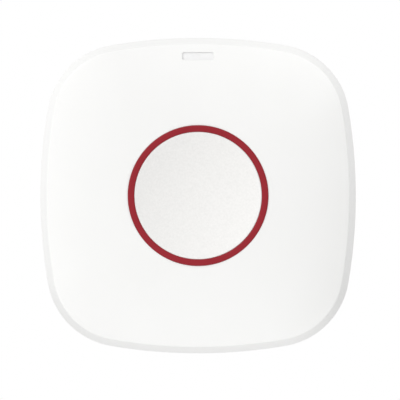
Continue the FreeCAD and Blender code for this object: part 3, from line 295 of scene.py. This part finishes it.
# %% [markdown]
# The crease is the line that the eye follows round the face, so it is rounded by its own bevel,
# a little wider than the other edges. Solidify gives the moulding its wall, and a Boolean cuts
# the window slot with a block whose corners are rounded.

# %% Front cover: crease, wall and window slot
COVER_WALL = 1.0 * MM
CREASE_SOFTNESS = 0.22 * MM
EDGE_SOFTNESS = 0.08 * MM
SLOT_WIDTH = 6.6 * MM
SLOT_HEIGHT = 1.7 * MM
SLOT_CORNER = 0.45 * MM
SLOT_PLACE = 29.15 * MM


def on_crease(first, second):
    """Both ends lie on the level of the crease."""
    return abs(first.y + CREASE_LEVEL) < MERGE and abs(second.y + CREASE_LEVEL) < MERGE


only(face_shell)
bpy.ops.object.mode_set(mode="EDIT")
pick_edges(face_shell, on_crease)
bpy.ops.mesh.bevel(offset=CREASE_SOFTNESS, segments=4)
bpy.ops.mesh.select_all(action="SELECT")
bpy.ops.mesh.normals_make_consistent(inside=False)
bpy.ops.object.mode_set(mode="OBJECT")
outward = sum(face.normal.y * face.area for face in face_shell.data.polygons)
print("faces look at the room" if outward < 0 else "faces look at the wall")
apply_modifier(face_shell, "SOLIDIFY", thickness=COVER_WALL, offset=-1, use_even_offset=True)
soften_edges(face_shell, EDGE_SOFTNESS)

bpy.ops.object.select_all(action="DESELECT")
bpy.ops.mesh.primitive_cube_add(size=1, location=(0, -CREASE_LEVEL, SLOT_PLACE),
                                scale=(SLOT_WIDTH, DOME_RISE * 2, SLOT_HEIGHT))
slot_cutter = bpy.context.object
bpy.ops.object.transform_apply(location=True, rotation=False, scale=True)
bpy.ops.object.mode_set(mode="EDIT")
pick_edges(slot_cutter, lambda first, second: abs(first.y - second.y) > MM)
bpy.ops.mesh.bevel(offset=SLOT_CORNER, segments=6)
bpy.ops.object.mode_set(mode="OBJECT")
apply_modifier(face_shell, "BOOLEAN", object=slot_cutter, operation="DIFFERENCE", solver="EXACT")
bpy.data.objects.remove(slot_cutter)
print(f"front cover: {len(face_shell.data.polygons)} faces")

# %% [markdown]
# The Boolean leaves the mouth of the slot sharp, and a moulded slot never is. The rim is found by
# place, on the wall of the slot and near the outside of the dome, and gets a bevel of its own,
# smaller than the others so that the slot keeps its crisp shape in the picture.

# %% Front cover: the rim of the slot
SLOT_SOFTNESS = 0.05 * MM


def on_slot_rim(first, second):
    """Both ends lie on the wall of the slot, at the outside of the dome."""
    for place in (first, second):
        aside = max(abs(place.x) - SLOT_WIDTH / 2, abs(place.z - SLOT_PLACE) - SLOT_HEIGHT / 2)
        sunk = dome_level(place.z / crease_half) + place.y
        if aside > MERGE or sunk > COVER_WALL / 2:
            return False
    return True


only(face_shell)
bpy.ops.object.mode_set(mode="EDIT")
pick_edges(face_shell, on_slot_rim)
bpy.ops.mesh.bevel(offset=SLOT_SOFTNESS, segments=2)
bpy.ops.object.mode_set(mode="OBJECT")
shade_soft(face_shell)
stand_for(face_shell, "front_cover", "housing")

# %% [markdown]
# The red ring is a round moulding. One side of its section is drawn point by point in a plane
# through the axis and spun a full turn, with many steps because its edges are the cleanest
# circles in the picture. Below the face it has the sleeve and the flange that hold it.

# %% Red ring
TURN_STEPS = 192
RING_OUTER = 14.7 * MM
RING_INNER = 13.35 * MM
RING_BEVEL = 0.25 * MM
RING_EDGE = 20.83 * MM
FLANGE_FRONT = 18.8 * MM
FLANGE_BACK = 17.8 * MM
TRIM_SOFTNESS = 0.06 * MM
RING_SHARP_ANGLE = 25
ring_low, ring_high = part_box("button_ring")
ring_crest = -ring_low.y
ring_back = -ring_high.y


def draw_section(corners):
    """Straight lines from corner to corner, each a radius and a level."""
    radius, level = corners[0]
    start_point((radius, -level, 0))
    for next_radius, next_level in corners[1:]:
        step = (next_radius - radius, level - next_level, 0)
        bpy.ops.mesh.extrude_region_move(TRANSFORM_OT_translate={"value": step})
        radius, level = next_radius, next_level


def turn_section():
    """Spin the whole section round the axis of the button."""
    close_up()
    bpy.ops.mesh.spin(steps=TURN_STEPS, angle=math.radians(360), center=(0, 0, 0), axis=(0, 1, 0))
    close_up()
    bpy.ops.mesh.normals_make_consistent(inside=False)
    bpy.ops.object.mode_set(mode="OBJECT")


trim_ring = new_mesh("trim_ring")
draw_section([(RING_INNER, ring_back), (RING_OUTER, ring_back), (RING_OUTER, FLANGE_BACK),
              (ring_high.x, FLANGE_BACK), (ring_high.x, FLANGE_FRONT), (RING_OUTER, FLANGE_FRONT),
              (RING_OUTER, RING_EDGE), (RING_OUTER - RING_BEVEL, ring_crest),
              (RING_INNER + RING_BEVEL, ring_crest), (RING_INNER, RING_EDGE),
              (RING_INNER, ring_back)])
turn_section()
soften_edges(trim_ring, TRIM_SOFTNESS, angle=RING_SHARP_ANGLE)
shade_soft(trim_ring)
stand_for(trim_ring, "button_ring", "housing")

# %% [markdown]
# The cap is spun too. Its dish is part of a sphere, which in the section is one arc, so a point
# is spun about the centre of that sphere before the rim, the skirt and the post are drawn with
# straight lines. A finger finds the middle by this hollow.

# %% Push cap
DISH_RADIUS = 38.0 * MM
DISH_STEPS = 28
CAP_RADIUS = 13.335 * MM
CAP_ROUNDING = 0.14 * MM
CAP_SKIN = 1.6 * MM
SKIRT_WALL = 1.4 * MM
SKIRT_DEPTH = 4.5 * MM
POST_RADIUS = 2.5 * MM
cap_rim = -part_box("button_cap")[0].y
dish_edge = CAP_RADIUS - CAP_ROUNDING
dish_level = cap_rim - DISH_RADIUS + math.sqrt(DISH_RADIUS ** 2 - dish_edge ** 2)
dish_slope = math.asin(dish_edge / DISH_RADIUS)
skirt_end = cap_rim - SKIRT_DEPTH
underside = dish_level - CAP_SKIN

push_cap = new_mesh("push_cap")
start_point((0, -dish_level, 0))
bpy.ops.mesh.spin(steps=DISH_STEPS, angle=dish_slope, center=(0, -dish_level - DISH_RADIUS, 0),
                  axis=(0, 0, 1))
draw_section([(dish_edge, cap_rim), (CAP_RADIUS, cap_rim - CAP_ROUNDING), (CAP_RADIUS, skirt_end),
              (CAP_RADIUS - SKIRT_WALL, skirt_end), (CAP_RADIUS - SKIRT_WALL, underside),
              (POST_RADIUS, underside), (POST_RADIUS, skirt_end), (0, skirt_end)])
turn_section()
print(f"dish {(cap_rim - dish_level) / MM:.2f} mm deep, {math.degrees(dish_slope):.1f} degrees")

# %% [markdown]
# Three snap legs under the skirt hook behind the ring's sleeve and keep the cap in. One leg is
# a section with a barb that is spun through a few degrees, and its turned copies are united with
# the cap before all edges are softened at once.

# %% Snap legs of the cap
LEG_COUNT = 3
LEG_ANGLE = 18
LEG_STEPS = 4
LEG_WALL = 1.0 * MM
LEG_REACH = 14.05 * MM
BARB_FRONT = 15.45 * MM
LEG_OUTER = 13.15 * MM
CAP_SHARP_ANGLE = 20
leg_inner = LEG_OUTER - LEG_WALL
leg_back = -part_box("button_cap")[1].y
leg_root = skirt_end + LEG_WALL / 2


def turn_selected(degrees):
    """Turn what is selected about the axis of the button."""
    bpy.ops.transform.rotate(value=math.radians(degrees), orient_axis="Y",
                             center_override=(0, 0, 0))


for number in range(LEG_COUNT):
    snap_leg = new_mesh("snap_leg")
    draw_section([(leg_inner, leg_root), (leg_inner, leg_back), (LEG_OUTER, leg_back),
                  (LEG_REACH, BARB_FRONT), (LEG_OUTER, BARB_FRONT), (LEG_OUTER, leg_root),
                  (leg_inner, leg_root)])
    close_up()
    bpy.ops.mesh.edge_face_add()
    bpy.ops.mesh.spin(steps=LEG_STEPS, angle=math.radians(LEG_ANGLE), center=(0, 0, 0),
                      axis=(0, 1, 0))
    close_up()
    bpy.ops.mesh.fill_holes(sides=0)
    bpy.ops.mesh.normals_make_consistent(inside=False)
    turn_selected(number * 360 / LEG_COUNT + LEG_ANGLE / 2)
    bpy.ops.object.mode_set(mode="OBJECT")
    apply_modifier(push_cap, "BOOLEAN", object=snap_leg, operation="UNION", solver="EXACT")
    bpy.data.objects.remove(snap_leg)
soften_edges(push_cap, TRIM_SOFTNESS, angle=CAP_SHARP_ANGLE)
shade_soft(push_cap)
stand_for(push_cap, "button_cap", "button")

# %% [markdown]
# The rear pieces have hooks, slots and ribs that are right as solids, and only their edges are too
# sharp. So are the lens, the screws and the cell. A copy of each solid is merged into one skin and
# its flat triangles are dissolved into whole faces. A bevel rounds the edges as on the other
# mouldings, and the flats are cut again into triangles of a good shape. The plate keeps its own
# triangles, because ribs and bosses break up its flats and make them too ragged to be whole.

# %% Softened copies
FLAT_ANGLE = 0.5
CASING_SOFTNESS = 0.12 * MM
PLATE_SOFTNESS = 0.1 * MM
PIN_SOFTNESS = 0.08 * MM
FINE_SOFTNESS = 0.05 * MM


def join_flats():
    """Dissolve the edges between faces that lie in one plane."""
    bpy.ops.mesh.select_all(action="SELECT")
    bpy.ops.mesh.dissolve_limited(angle_limit=math.radians(FLAT_ANGLE))


def soft_copy(node, name, body, width, whole_flats=True):
    """A copy of a solid with rounded edges, shown in its place."""
    only(frame["nodes"][node])
    bpy.ops.object.duplicate()
    piece = bpy.context.object
    piece.name = piece.data.name = name
    bpy.ops.object.mode_set(mode="EDIT")
    close_up()
    if whole_flats:
        join_flats()
    bpy.ops.object.mode_set(mode="OBJECT")
    soften_edges(piece, width, segments=2)
    bpy.ops.object.mode_set(mode="EDIT")
    if whole_flats:
        join_flats()
    bpy.ops.mesh.quads_convert_to_tris(quad_method="BEAUTY", ngon_method="BEAUTY")
    bpy.ops.object.mode_set(mode="OBJECT")
    shade_soft(piece)
    stand_for(piece, node, body)
    return piece


rear_shell = soft_copy("rear_housing", "rear_shell", "housing", CASING_SOFTNESS)
plate_shell = soft_copy("wall_plate", "plate_shell", "wall_plate", PLATE_SOFTNESS,
                        whole_flats=False)
battery_door = soft_copy("battery_cover", "battery_door", "battery_cover",
                         PLATE_SOFTNESS)
drop_pin = soft_copy("tamper_pin", "drop_pin", "tamper_pin", PIN_SOFTNESS)
window_lens = soft_copy("indicator_window", "window_lens", "housing", FINE_SOFTNESS)
case_screws = soft_copy("housing_screws", "case_screws", "housing", FINE_SOFTNESS)
board_fixings = soft_copy("board_screws", "board_fixings", "housing", FINE_SOFTNESS)
cell_body = soft_copy("coin_cell", "cell_body", "housing", FINE_SOFTNESS)

# %% [markdown]
# The lens is a piece of light guide with a broad foot behind the cover. Its front end is pressed
# into the slot, so it grips the walls and no gap shows. It is resized about its own middle. The
# solid has the same play all round, so its height follows from its width.

# %% The lens fills its slot
LENS_GRIP = 0.03 * MM
LENS_SHOULDER = 15.2 * MM
lens_half_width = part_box("indicator_window")[1].x
lens_half_height = SLOT_HEIGHT / 2 - (SLOT_WIDTH / 2 - lens_half_width)


def on_lens_front(place):
    """The place is part of the end that stands in the slot."""
    return -place.y > LENS_SHOULDER + MERGE


only(window_lens)
bpy.ops.object.mode_set(mode="EDIT")
pick_points(window_lens, on_lens_front)
wider = (SLOT_WIDTH / 2 + LENS_GRIP) / lens_half_width
taller = (SLOT_HEIGHT / 2 + LENS_GRIP) / lens_half_height
bpy.ops.transform.resize(value=(wider, 1, taller), center_override=(0, 0, SLOT_PLACE))
bpy.ops.object.mode_set(mode="OBJECT")
print(f"lens front {wider:.3f} times as wide and {taller:.3f} times as tall")

# %% [markdown]
# Every finish starts with the same parts: the shader, and the place of a point on its piece in
# metres. A noise then stands for the grain of the surface. It moves the roughness between two
# values, tints the colour between two shades, and lifts the surface by a bump of a real height.
# A noise keeps mostly between 0.3 and 0.7, so the two shades are set at those two marks.

# %% What all finishes share
FAINT = 0.3
STRONG = 0.7


def new_finish(name):
    """A material, its nodes, its shader and the point's place on the piece."""
    material = bpy.data.materials.new(name)
    material.use_nodes = True
    tree = material.node_tree
    place = tree.nodes.new("ShaderNodeTexCoord").outputs["Object"]
    return material, tree, tree.nodes["Principled BSDF"], place


def grain(tree, place, size, detail=3.0):
    """A noise whose spots are about this size."""
    noise = tree.nodes.new("ShaderNodeTexNoise")
    noise.inputs["Scale"].default_value = 1 / size
    noise.inputs["Detail"].default_value = detail
    tree.links.new(place, noise.inputs["Vector"])
    return noise.outputs["Fac"]


def stretched(tree, place, scales, turn=(0, 0, 0)):
    """The same place, squeezed or turned for a grain that has a direction."""
    mapping = tree.nodes.new("ShaderNodeMapping")
    mapping.inputs["Scale"].default_value = scales
    mapping.inputs["Rotation"].default_value = turn
    tree.links.new(place, mapping.inputs["Vector"])
    return mapping.outputs["Vector"]


def between(tree, factor, low, high, start=FAINT, end=STRONG):
    """A value from low to high, as the factor goes from start to end."""
    spread = tree.nodes.new("ShaderNodeMapRange")
    spread.inputs["From Min"].default_value = start
    spread.inputs["From Max"].default_value = end
    spread.inputs["To Min"].default_value = low
    spread.inputs["To Max"].default_value = high
    tree.links.new(factor, spread.inputs["Value"])
    return spread.outputs["Result"]


def shades(tree, factor, dark, light, start=FAINT, end=STRONG):
    """A colour from dark to light, as the factor goes from start to end."""
    ramp = tree.nodes.new("ShaderNodeValToRGB")
    ramp.color_ramp.elements[0].position = start
    ramp.color_ramp.elements[0].color = (*dark, 1)
    ramp.color_ramp.elements[1].position = end
    ramp.color_ramp.elements[1].color = (*light, 1)
    tree.links.new(factor, ramp.inputs["Fac"])
    return ramp.outputs["Color"]


def relief(tree, shader, height, lift):
    """A bump of this real height in metres, driven by a value from 0 to 1."""
    bump = tree.nodes.new("ShaderNodeBump")
    bump.inputs["Distance"].default_value = lift
    tree.links.new(height, bump.inputs["Height"])
    tree.links.new(bump.outputs["Normal"], shader.inputs["Normal"])

# %% [markdown]
# The housing is white moulded plastic. Its tool is lightly spark-eroded, which leaves a satin
# face with grains of a fifth of a millimetre. Real mouldings are never one even white, so a broad
# slow noise shifts the tone by a hair. The cap has the same plastic with a coarser, duller grain
# that a finger doesn't slip on.

# %% White plastics
def moulded_plastic(name, dark, light, tone_size, grain_size, detail, roughness, shine, lift):
    """Moulded plastic with a slow change of tone and a fine grain from its tool."""
    material, tree, shader, place = new_finish(name)
    slow = grain(tree, place, tone_size, detail=2)
    fine = grain(tree, place, grain_size, detail)
    tree.links.new(shades(tree, slow, dark, light), shader.inputs["Base Color"])
    tree.links.new(between(tree, fine, *roughness), shader.inputs["Roughness"])
    shader.inputs["Specular IOR Level"].default_value = shine
    relief(tree, shader, fine, lift)
    return material


def speckled_plastic(name, dark, light, speckle_size, roughness, shine, lift):
    """The cap's plastic: a coarser grain that also speckles the tone."""
    material, tree, shader, place = new_finish(name)
    speckle = grain(tree, place, speckle_size, detail=5)
    tree.links.new(shades(tree, speckle, dark, light), shader.inputs["Base Color"])
    tree.links.new(between(tree, speckle, *roughness), shader.inputs["Roughness"])
    shader.inputs["Specular IOR Level"].default_value = shine
    relief(tree, shader, speckle, lift)
    return material


shell_white = moulded_plastic("shell_white", dark=(0.927, 0.927, 0.915),
                              light=(0.938, 0.938, 0.927), tone_size=14 * MM,
                              grain_size=0.22 * MM, detail=4, roughness=(0.38, 0.5),
                              shine=0.5, lift=0.0013 * MM)
cap_white = speckled_plastic("cap_white", dark=(0.868, 0.862, 0.846),
                             light=(0.924, 0.916, 0.900), speckle_size=0.42 * MM,
                             roughness=(0.72, 0.6), shine=0.3, lift=0.011 * MM)
print("white finishes:", shell_white.name, cap_white.name)

# %% [markdown]
# The ring comes from the same kind of tool as the housing, but is dyed through in a deep red and
# reflects less. The lamp window is milky: light enters it and spreads, which subsurface
# scattering stands for. Silicone does the same with more dust on it.

# %% Red ring, milky window and silicone
def milky_plastic(name, dark, light, cloud_size, roughness, depth, weight, lift):
    """Plastic or rubber that light enters, with a cloudy tone."""
    material, tree, shader, place = new_finish(name)
    cloud = grain(tree, place, cloud_size, detail=3)
    tree.links.new(shades(tree, cloud, dark, light), shader.inputs["Base Color"])
    tree.links.new(between(tree, cloud, *roughness), shader.inputs["Roughness"])
    shader.inputs["Subsurface Weight"].default_value = weight
    shader.inputs["Subsurface Radius"].default_value = (1, 1, 1)
    shader.inputs["Subsurface Scale"].default_value = depth
    relief(tree, shader, cloud, lift)
    return material


trim_red = moulded_plastic("trim_red", dark=(0.295, 0.015, 0.024), light=(0.32, 0.018, 0.028),
                           tone_size=5 * MM, grain_size=0.25 * MM, detail=3,
                           roughness=(0.46, 0.56), shine=0.22, lift=0.001 * MM)
window_milk = milky_plastic("window_milk", dark=(0.90, 0.90, 0.90), light=(0.93, 0.93, 0.93),
                            cloud_size=1.0 * MM, roughness=(0.28, 0.4), depth=0.5 * MM,
                            weight=0.3, lift=0.002 * MM)
pad_silicone = milky_plastic("pad_silicone", dark=(0.66, 0.66, 0.64), light=(0.74, 0.74, 0.72),
                             cloud_size=0.4 * MM, roughness=(0.5, 0.62), depth=0.8 * MM,
                             weight=0.4, lift=0.002 * MM)
print("red, milk and silicone are ready")

# %% [markdown]
# The board is glass cloth in resin under a green solder mask. The mask lies a little higher and
# lighter over the copper tracks. The thin joints of a Brick texture draw runs of tracks, and a
# noise that is squeezed one way gives the threads of the cloth. Chips are black resin with
# mineral grain, and the pill is carbon rubber.

# %% Board, chips and carbon
TRACK_RUN = 5.2 * MM
TRACK_PITCH = 0.9 * MM
TRACK_HALF_WIDTH = 0.13 * MM
TRACK_BLEND = 0.2
TRACK_SHIFT = 0.37
THREAD_SIZE = 0.5 * MM
THREAD_SQUEEZE = (1, 1, 5)
MASK_LIFT = 0.012 * MM


def masked_board(name, bare, over_copper, roughness):
    """Green mask with tracks under it, each tone a pair of a dark and a light shade."""
    material, tree, shader, place = new_finish(name)
    upright = (math.radians(90), 0, 0)
    flat = stretched(tree, place, (1, 1, 1), upright)
    tracks = tree.nodes.new("ShaderNodeTexBrick")
    tracks.offset = TRACK_SHIFT
    tracks.inputs["Scale"].default_value = 1
    tracks.inputs["Brick Width"].default_value = TRACK_RUN
    tracks.inputs["Row Height"].default_value = TRACK_PITCH
    tracks.inputs["Mortar Size"].default_value = TRACK_HALF_WIDTH
    tracks.inputs["Mortar Smooth"].default_value = TRACK_BLEND
    tree.links.new(flat, tracks.inputs["Vector"])
    cloth = grain(tree, stretched(tree, place, THREAD_SQUEEZE), THREAD_SIZE, detail=1)
    colour = tree.nodes.new("ShaderNodeMix")
    colour.data_type = "RGBA"
    tree.links.new(tracks.outputs["Fac"], colour.inputs["Factor"])
    tree.links.new(shades(tree, cloth, *bare), colour.inputs["A"])
    tree.links.new(shades(tree, cloth, *over_copper), colour.inputs["B"])
    tree.links.new(colour.outputs["Result"], shader.inputs["Base Color"])
    tree.links.new(between(tree, cloth, *roughness), shader.inputs["Roughness"])
    relief(tree, shader, tracks.outputs["Fac"], MASK_LIFT)
    return material


def mineral_filled(name, dark, light, speck_size, roughness, lift):
    """Black resin or rubber in which only the strongest specks show pale."""
    material, tree, shader, place = new_finish(name)
    specks = grain(tree, place, speck_size, detail=5)
    tree.links.new(shades(tree, specks, dark, light, start=0.4, end=0.75),
                   shader.inputs["Base Color"])
    tree.links.new(between(tree, specks, *roughness), shader.inputs["Roughness"])
    relief(tree, shader, specks, lift)
    return material


board_green = masked_board("board_green", bare=((0.007, 0.082, 0.029), (0.009, 0.098, 0.036)),
                           over_copper=((0.010, 0.112, 0.041), (0.013, 0.130, 0.049)),
                           roughness=(0.22, 0.34))
chip_black = mineral_filled("chip_black", dark=(0.012, 0.012, 0.013),
                            light=(0.045, 0.045, 0.047), speck_size=0.12 * MM,
                            roughness=(0.5, 0.65), lift=0.004 * MM)
pill_carbon = mineral_filled("pill_carbon", dark=(0.008, 0.008, 0.008),
                             light=(0.03, 0.03, 0.03), speck_size=0.3 * MM,
                             roughness=(0.7, 0.85), lift=0.004 * MM)
print("board, chip and carbon are ready")

# %% [markdown]
# Each metal here has its own trace of how it was made. Springs are rolled strip with long fine
# lines, zinc plated screws have a blotchy bright skin, gold on the pads is thin and even, and
# the can of the coin cell shows rings from the turning tool. At Scale 1 a Wave texture has ten
# waves in pi metres, so its scale comes from the real distance between two rings.

# %% Metals
WAVES_PER_METRE = 10 / math.pi


def rolled_metal(name, dark, light, squeeze, line, roughness, lift):
    """Metal with fine lines that run the way it was rolled or brushed."""
    material, tree, shader, place = new_finish(name)
    shader.inputs["Metallic"].default_value = 1
    lines = grain(tree, stretched(tree, place, squeeze), line, detail=3)
    tree.links.new(shades(tree, lines, dark, light), shader.inputs["Base Color"])
    tree.links.new(between(tree, lines, *roughness), shader.inputs["Roughness"])
    relief(tree, shader, lines, lift)
    return material


def turned_metal(name, dark, light, stain_size, ring_pitch, wobble, roughness, lift):
    """Metal with rings round the axis of the button."""
    material, tree, shader, place = new_finish(name)
    shader.inputs["Metallic"].default_value = 1
    rings = tree.nodes.new("ShaderNodeTexWave")
    rings.wave_type = "RINGS"
    rings.rings_direction = "Y"
    rings.inputs["Scale"].default_value = 1 / (ring_pitch * WAVES_PER_METRE)
    rings.inputs["Distortion"].default_value = wobble
    tree.links.new(place, rings.inputs["Vector"])
    stain = grain(tree, place, stain_size, detail=3)
    tree.links.new(shades(tree, stain, dark, light), shader.inputs["Base Color"])
    tree.links.new(between(tree, rings.outputs["Fac"], *roughness, start=0, end=1),
                   shader.inputs["Roughness"])
    relief(tree, shader, rings.outputs["Fac"], lift)
    return material


nickel_strip = rolled_metal("nickel_strip", dark=(0.56, 0.55, 0.52), light=(0.66, 0.65, 0.62),
                            squeeze=(1, 12, 12), line=0.6 * MM, roughness=(0.22, 0.34),
                            lift=0.001 * MM)
zinc_skin = rolled_metal("zinc_skin", dark=(0.46, 0.48, 0.52), light=(0.60, 0.61, 0.62),
                         squeeze=(1, 1, 1), line=0.7 * MM, roughness=(0.28, 0.42),
                         lift=0.001 * MM)
pad_gold = rolled_metal("pad_gold", dark=(0.76, 0.52, 0.20), light=(0.85, 0.60, 0.26),
                        squeeze=(1, 1, 8), line=0.5 * MM, roughness=(0.18, 0.28),
                        lift=0.001 * MM)
cell_steel = turned_metal("cell_steel", dark=(0.60, 0.60, 0.59), light=(0.70, 0.70, 0.69),
                          stain_size=4 * MM, ring_pitch=0.18 * MM, wobble=0.6,
                          roughness=(0.2, 0.3), lift=0.0015 * MM)
print("metals are ready")

# %% [markdown]
# The record gives every solid a material slot, so one table from slot to finish dresses the
# solids that still show and the modelled pieces alike.

# %% Dressing
finishes = {
    "white_shell": shell_white, "cap_plastic": cap_white, "red_trim": trim_red,
    "light_guide": window_milk, "silicone": pad_silicone, "carbon_pill": pill_carbon,
    "board_laminate": board_green, "gold_plate": pad_gold, "chip_plastic": chip_black,
    "spring_steel": nickel_strip, "screw_steel": zinc_skin, "cell_can": cell_steel,
}
pieces_by_slot = {
    "white_shell": [face_shell, rear_shell, plate_shell, battery_door, drop_pin],
    "cap_plastic": [push_cap], "red_trim": [trim_ring], "light_guide": [window_lens],
    "screw_steel": [case_screws, board_fixings], "cell_can": [cell_body],
}


def dress(piece, material_slot):
    """Give the piece the finish of its slot and no other."""
    piece.data.materials.clear()
    piece.data.materials.append(finishes[material_slot])


for part in frame["record"]["subparts"]:
    dress(frame["nodes"][part["node"]], part["material_slot"])
for material_slot, pieces in pieces_by_slot.items():
    for piece in pieces:
        dress(piece, material_slot)
print(f"{len(finishes)} finishes on {len(frame['nodes'])} solids and their modelled pieces")

# %% [markdown]
# The button is a wall piece, so nothing carries it from below: the pale floor lies well under it,
# out of the main picture, and returns soft light to the lower edge. The background is white by
# Light Path: rays from the camera, reflections and refractions meet pure white, while the light
# that falls on the object comes from a dimmer sky.

# %% Floor and sky
FLOOR_LEVEL = -0.12
FLOOR_SIZE = 4.0
FLOOR_TONE = 0.5
FLOOR_ROUGHNESS = 0.9
SKY_LIGHT = 0.635
bpy.ops.object.select_all(action="DESELECT")
bpy.ops.mesh.primitive_plane_add(size=FLOOR_SIZE, location=(0, 0, FLOOR_LEVEL))
floor = bpy.context.object
floor.name = "floor"
floor_pale, tree, shader, place = new_finish("floor_pale")
pale = shades(tree, grain(tree, place, FLOOR_TONE), (0.88, 0.88, 0.88), (0.9, 0.9, 0.9))
tree.links.new(pale, shader.inputs["Base Color"])
shader.inputs["Roughness"].default_value = FLOOR_ROUGHNESS
floor.data.materials.append(floor_pale)
floor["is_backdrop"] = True

studio = bpy.data.worlds.new("studio")
bpy.context.scene.world = studio
studio.use_nodes = True
tree = studio.node_tree
sky = tree.nodes["Background"]
sky.inputs["Color"].default_value = (1, 1, 1, 1)
sky.inputs["Strength"].default_value = SKY_LIGHT
backdrop = tree.nodes.new("ShaderNodeBackground")
backdrop.inputs["Color"].default_value = (1, 1, 1, 1)
path = tree.nodes.new("ShaderNodeLightPath")
seen = path.outputs["Is Camera Ray"]
for ray in ("Is Glossy Ray", "Is Transmission Ray"):
    either = tree.nodes.new("ShaderNodeMath")
    either.operation = "MAXIMUM"
    tree.links.new(seen, either.inputs[0])
    tree.links.new(path.outputs[ray], either.inputs[1])
    seen = either.outputs[0]
choice = tree.nodes.new("ShaderNodeMixShader")
tree.links.new(seen, choice.inputs["Fac"])
tree.links.new(sky.outputs[0], choice.inputs[1])
tree.links.new(backdrop.outputs[0], choice.inputs[2])
tree.links.new(choice.outputs[0], tree.nodes["World Output"].inputs["Surface"])
print(f"floor {-FLOOR_LEVEL / MM:.0f} mm under the middle, sky at {SKY_LIGHT}")

# %% [markdown]
# The photograph is lit softly from the left of the camera: the left of the face is nearly white,
# the right falls off, and the hollow cap shows the reverse. Four broad lamps give that, and three
# small ones close to the object lift the lower edge and the right side. Each lamp is placed by
# two angles and a distance from the origin, and is then turned to face it.

# %% Lamps
# name, degrees off the camera's line, degrees round it, distance and width in metres, watts
LAMPS = [
    ("side_left", 85, 178, 0.60, 0.35, 0.24),
    ("key_left", 50, 180, 0.60, 0.35, 0.26),
    ("top_left", 60, 135, 0.60, 0.35, 1.00),
    ("top", 85, 90, 0.60, 0.35, 0.22),
    ("low_front", 45, 270, 0.14, 0.08, 0.019),
    ("low_right", 60, 300, 0.12, 0.08, 0.007),
    ("near_right", 62, 45, 0.11, 0.06, 0.014),
]
for name, off_axis, around, distance, width, watts in LAMPS:
    slant = math.radians(off_axis)
    turn = math.radians(around)
    bpy.ops.object.light_add(type="AREA", location=(
        distance * math.sin(slant) * math.cos(turn), -distance * math.cos(slant),
        distance * math.sin(slant) * math.sin(turn)))
    lamp = bpy.context.object
    lamp.name = name
    lamp.data.size = width
    lamp.data.energy = watts
    lamp.visible_camera = False
    lamp.rotation_euler = (-lamp.location).to_track_quat("-Z", "Y").to_euler()
print(f"{len(LAMPS)} lamps")

# %% [markdown]
# The photograph shows the face with no perspective at all, so the camera is orthographic and
# looks straight at the wall. Its scale and its small shifts put the outline and the ring on the
# same pixels as in the photograph.

# %% Camera
PHOTO_SIDE = 400
PIXEL = 0.2092 * MM
PHOTO_CENTRE = (198.1, 195.6)
CAMERA_DISTANCE = 0.5
side = (PHOTO_SIDE / 2 - PHOTO_CENTRE[0]) * PIXEL
rise = (PHOTO_CENTRE[1] - PHOTO_SIDE / 2) * PIXEL
bpy.ops.object.camera_add(location=(side, -CAMERA_DISTANCE, rise),
                          rotation=(math.radians(90), 0, 0))
camera = bpy.context.object
camera.name = "camera"
camera.data.type = "ORTHO"
camera.data.ortho_scale = PHOTO_SIDE * PIXEL
bpy.context.scene.camera = camera
bpy.context.scene.view_settings.view_transform = "Standard"

# %% [markdown]
# The box round the dressed part should be the box round the solids, because soft edges only take
# material away. Both are measured from the pieces themselves and printed side by side.

dressed_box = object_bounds()
sizes = {"solids": [list(corner) for corner in solid_box],
         "dressed": [list(corner) for corner in dressed_box]}
for name, box in sizes.items():
    print(name, [[round(place / MM, 2) for place in corner] for corner in box])
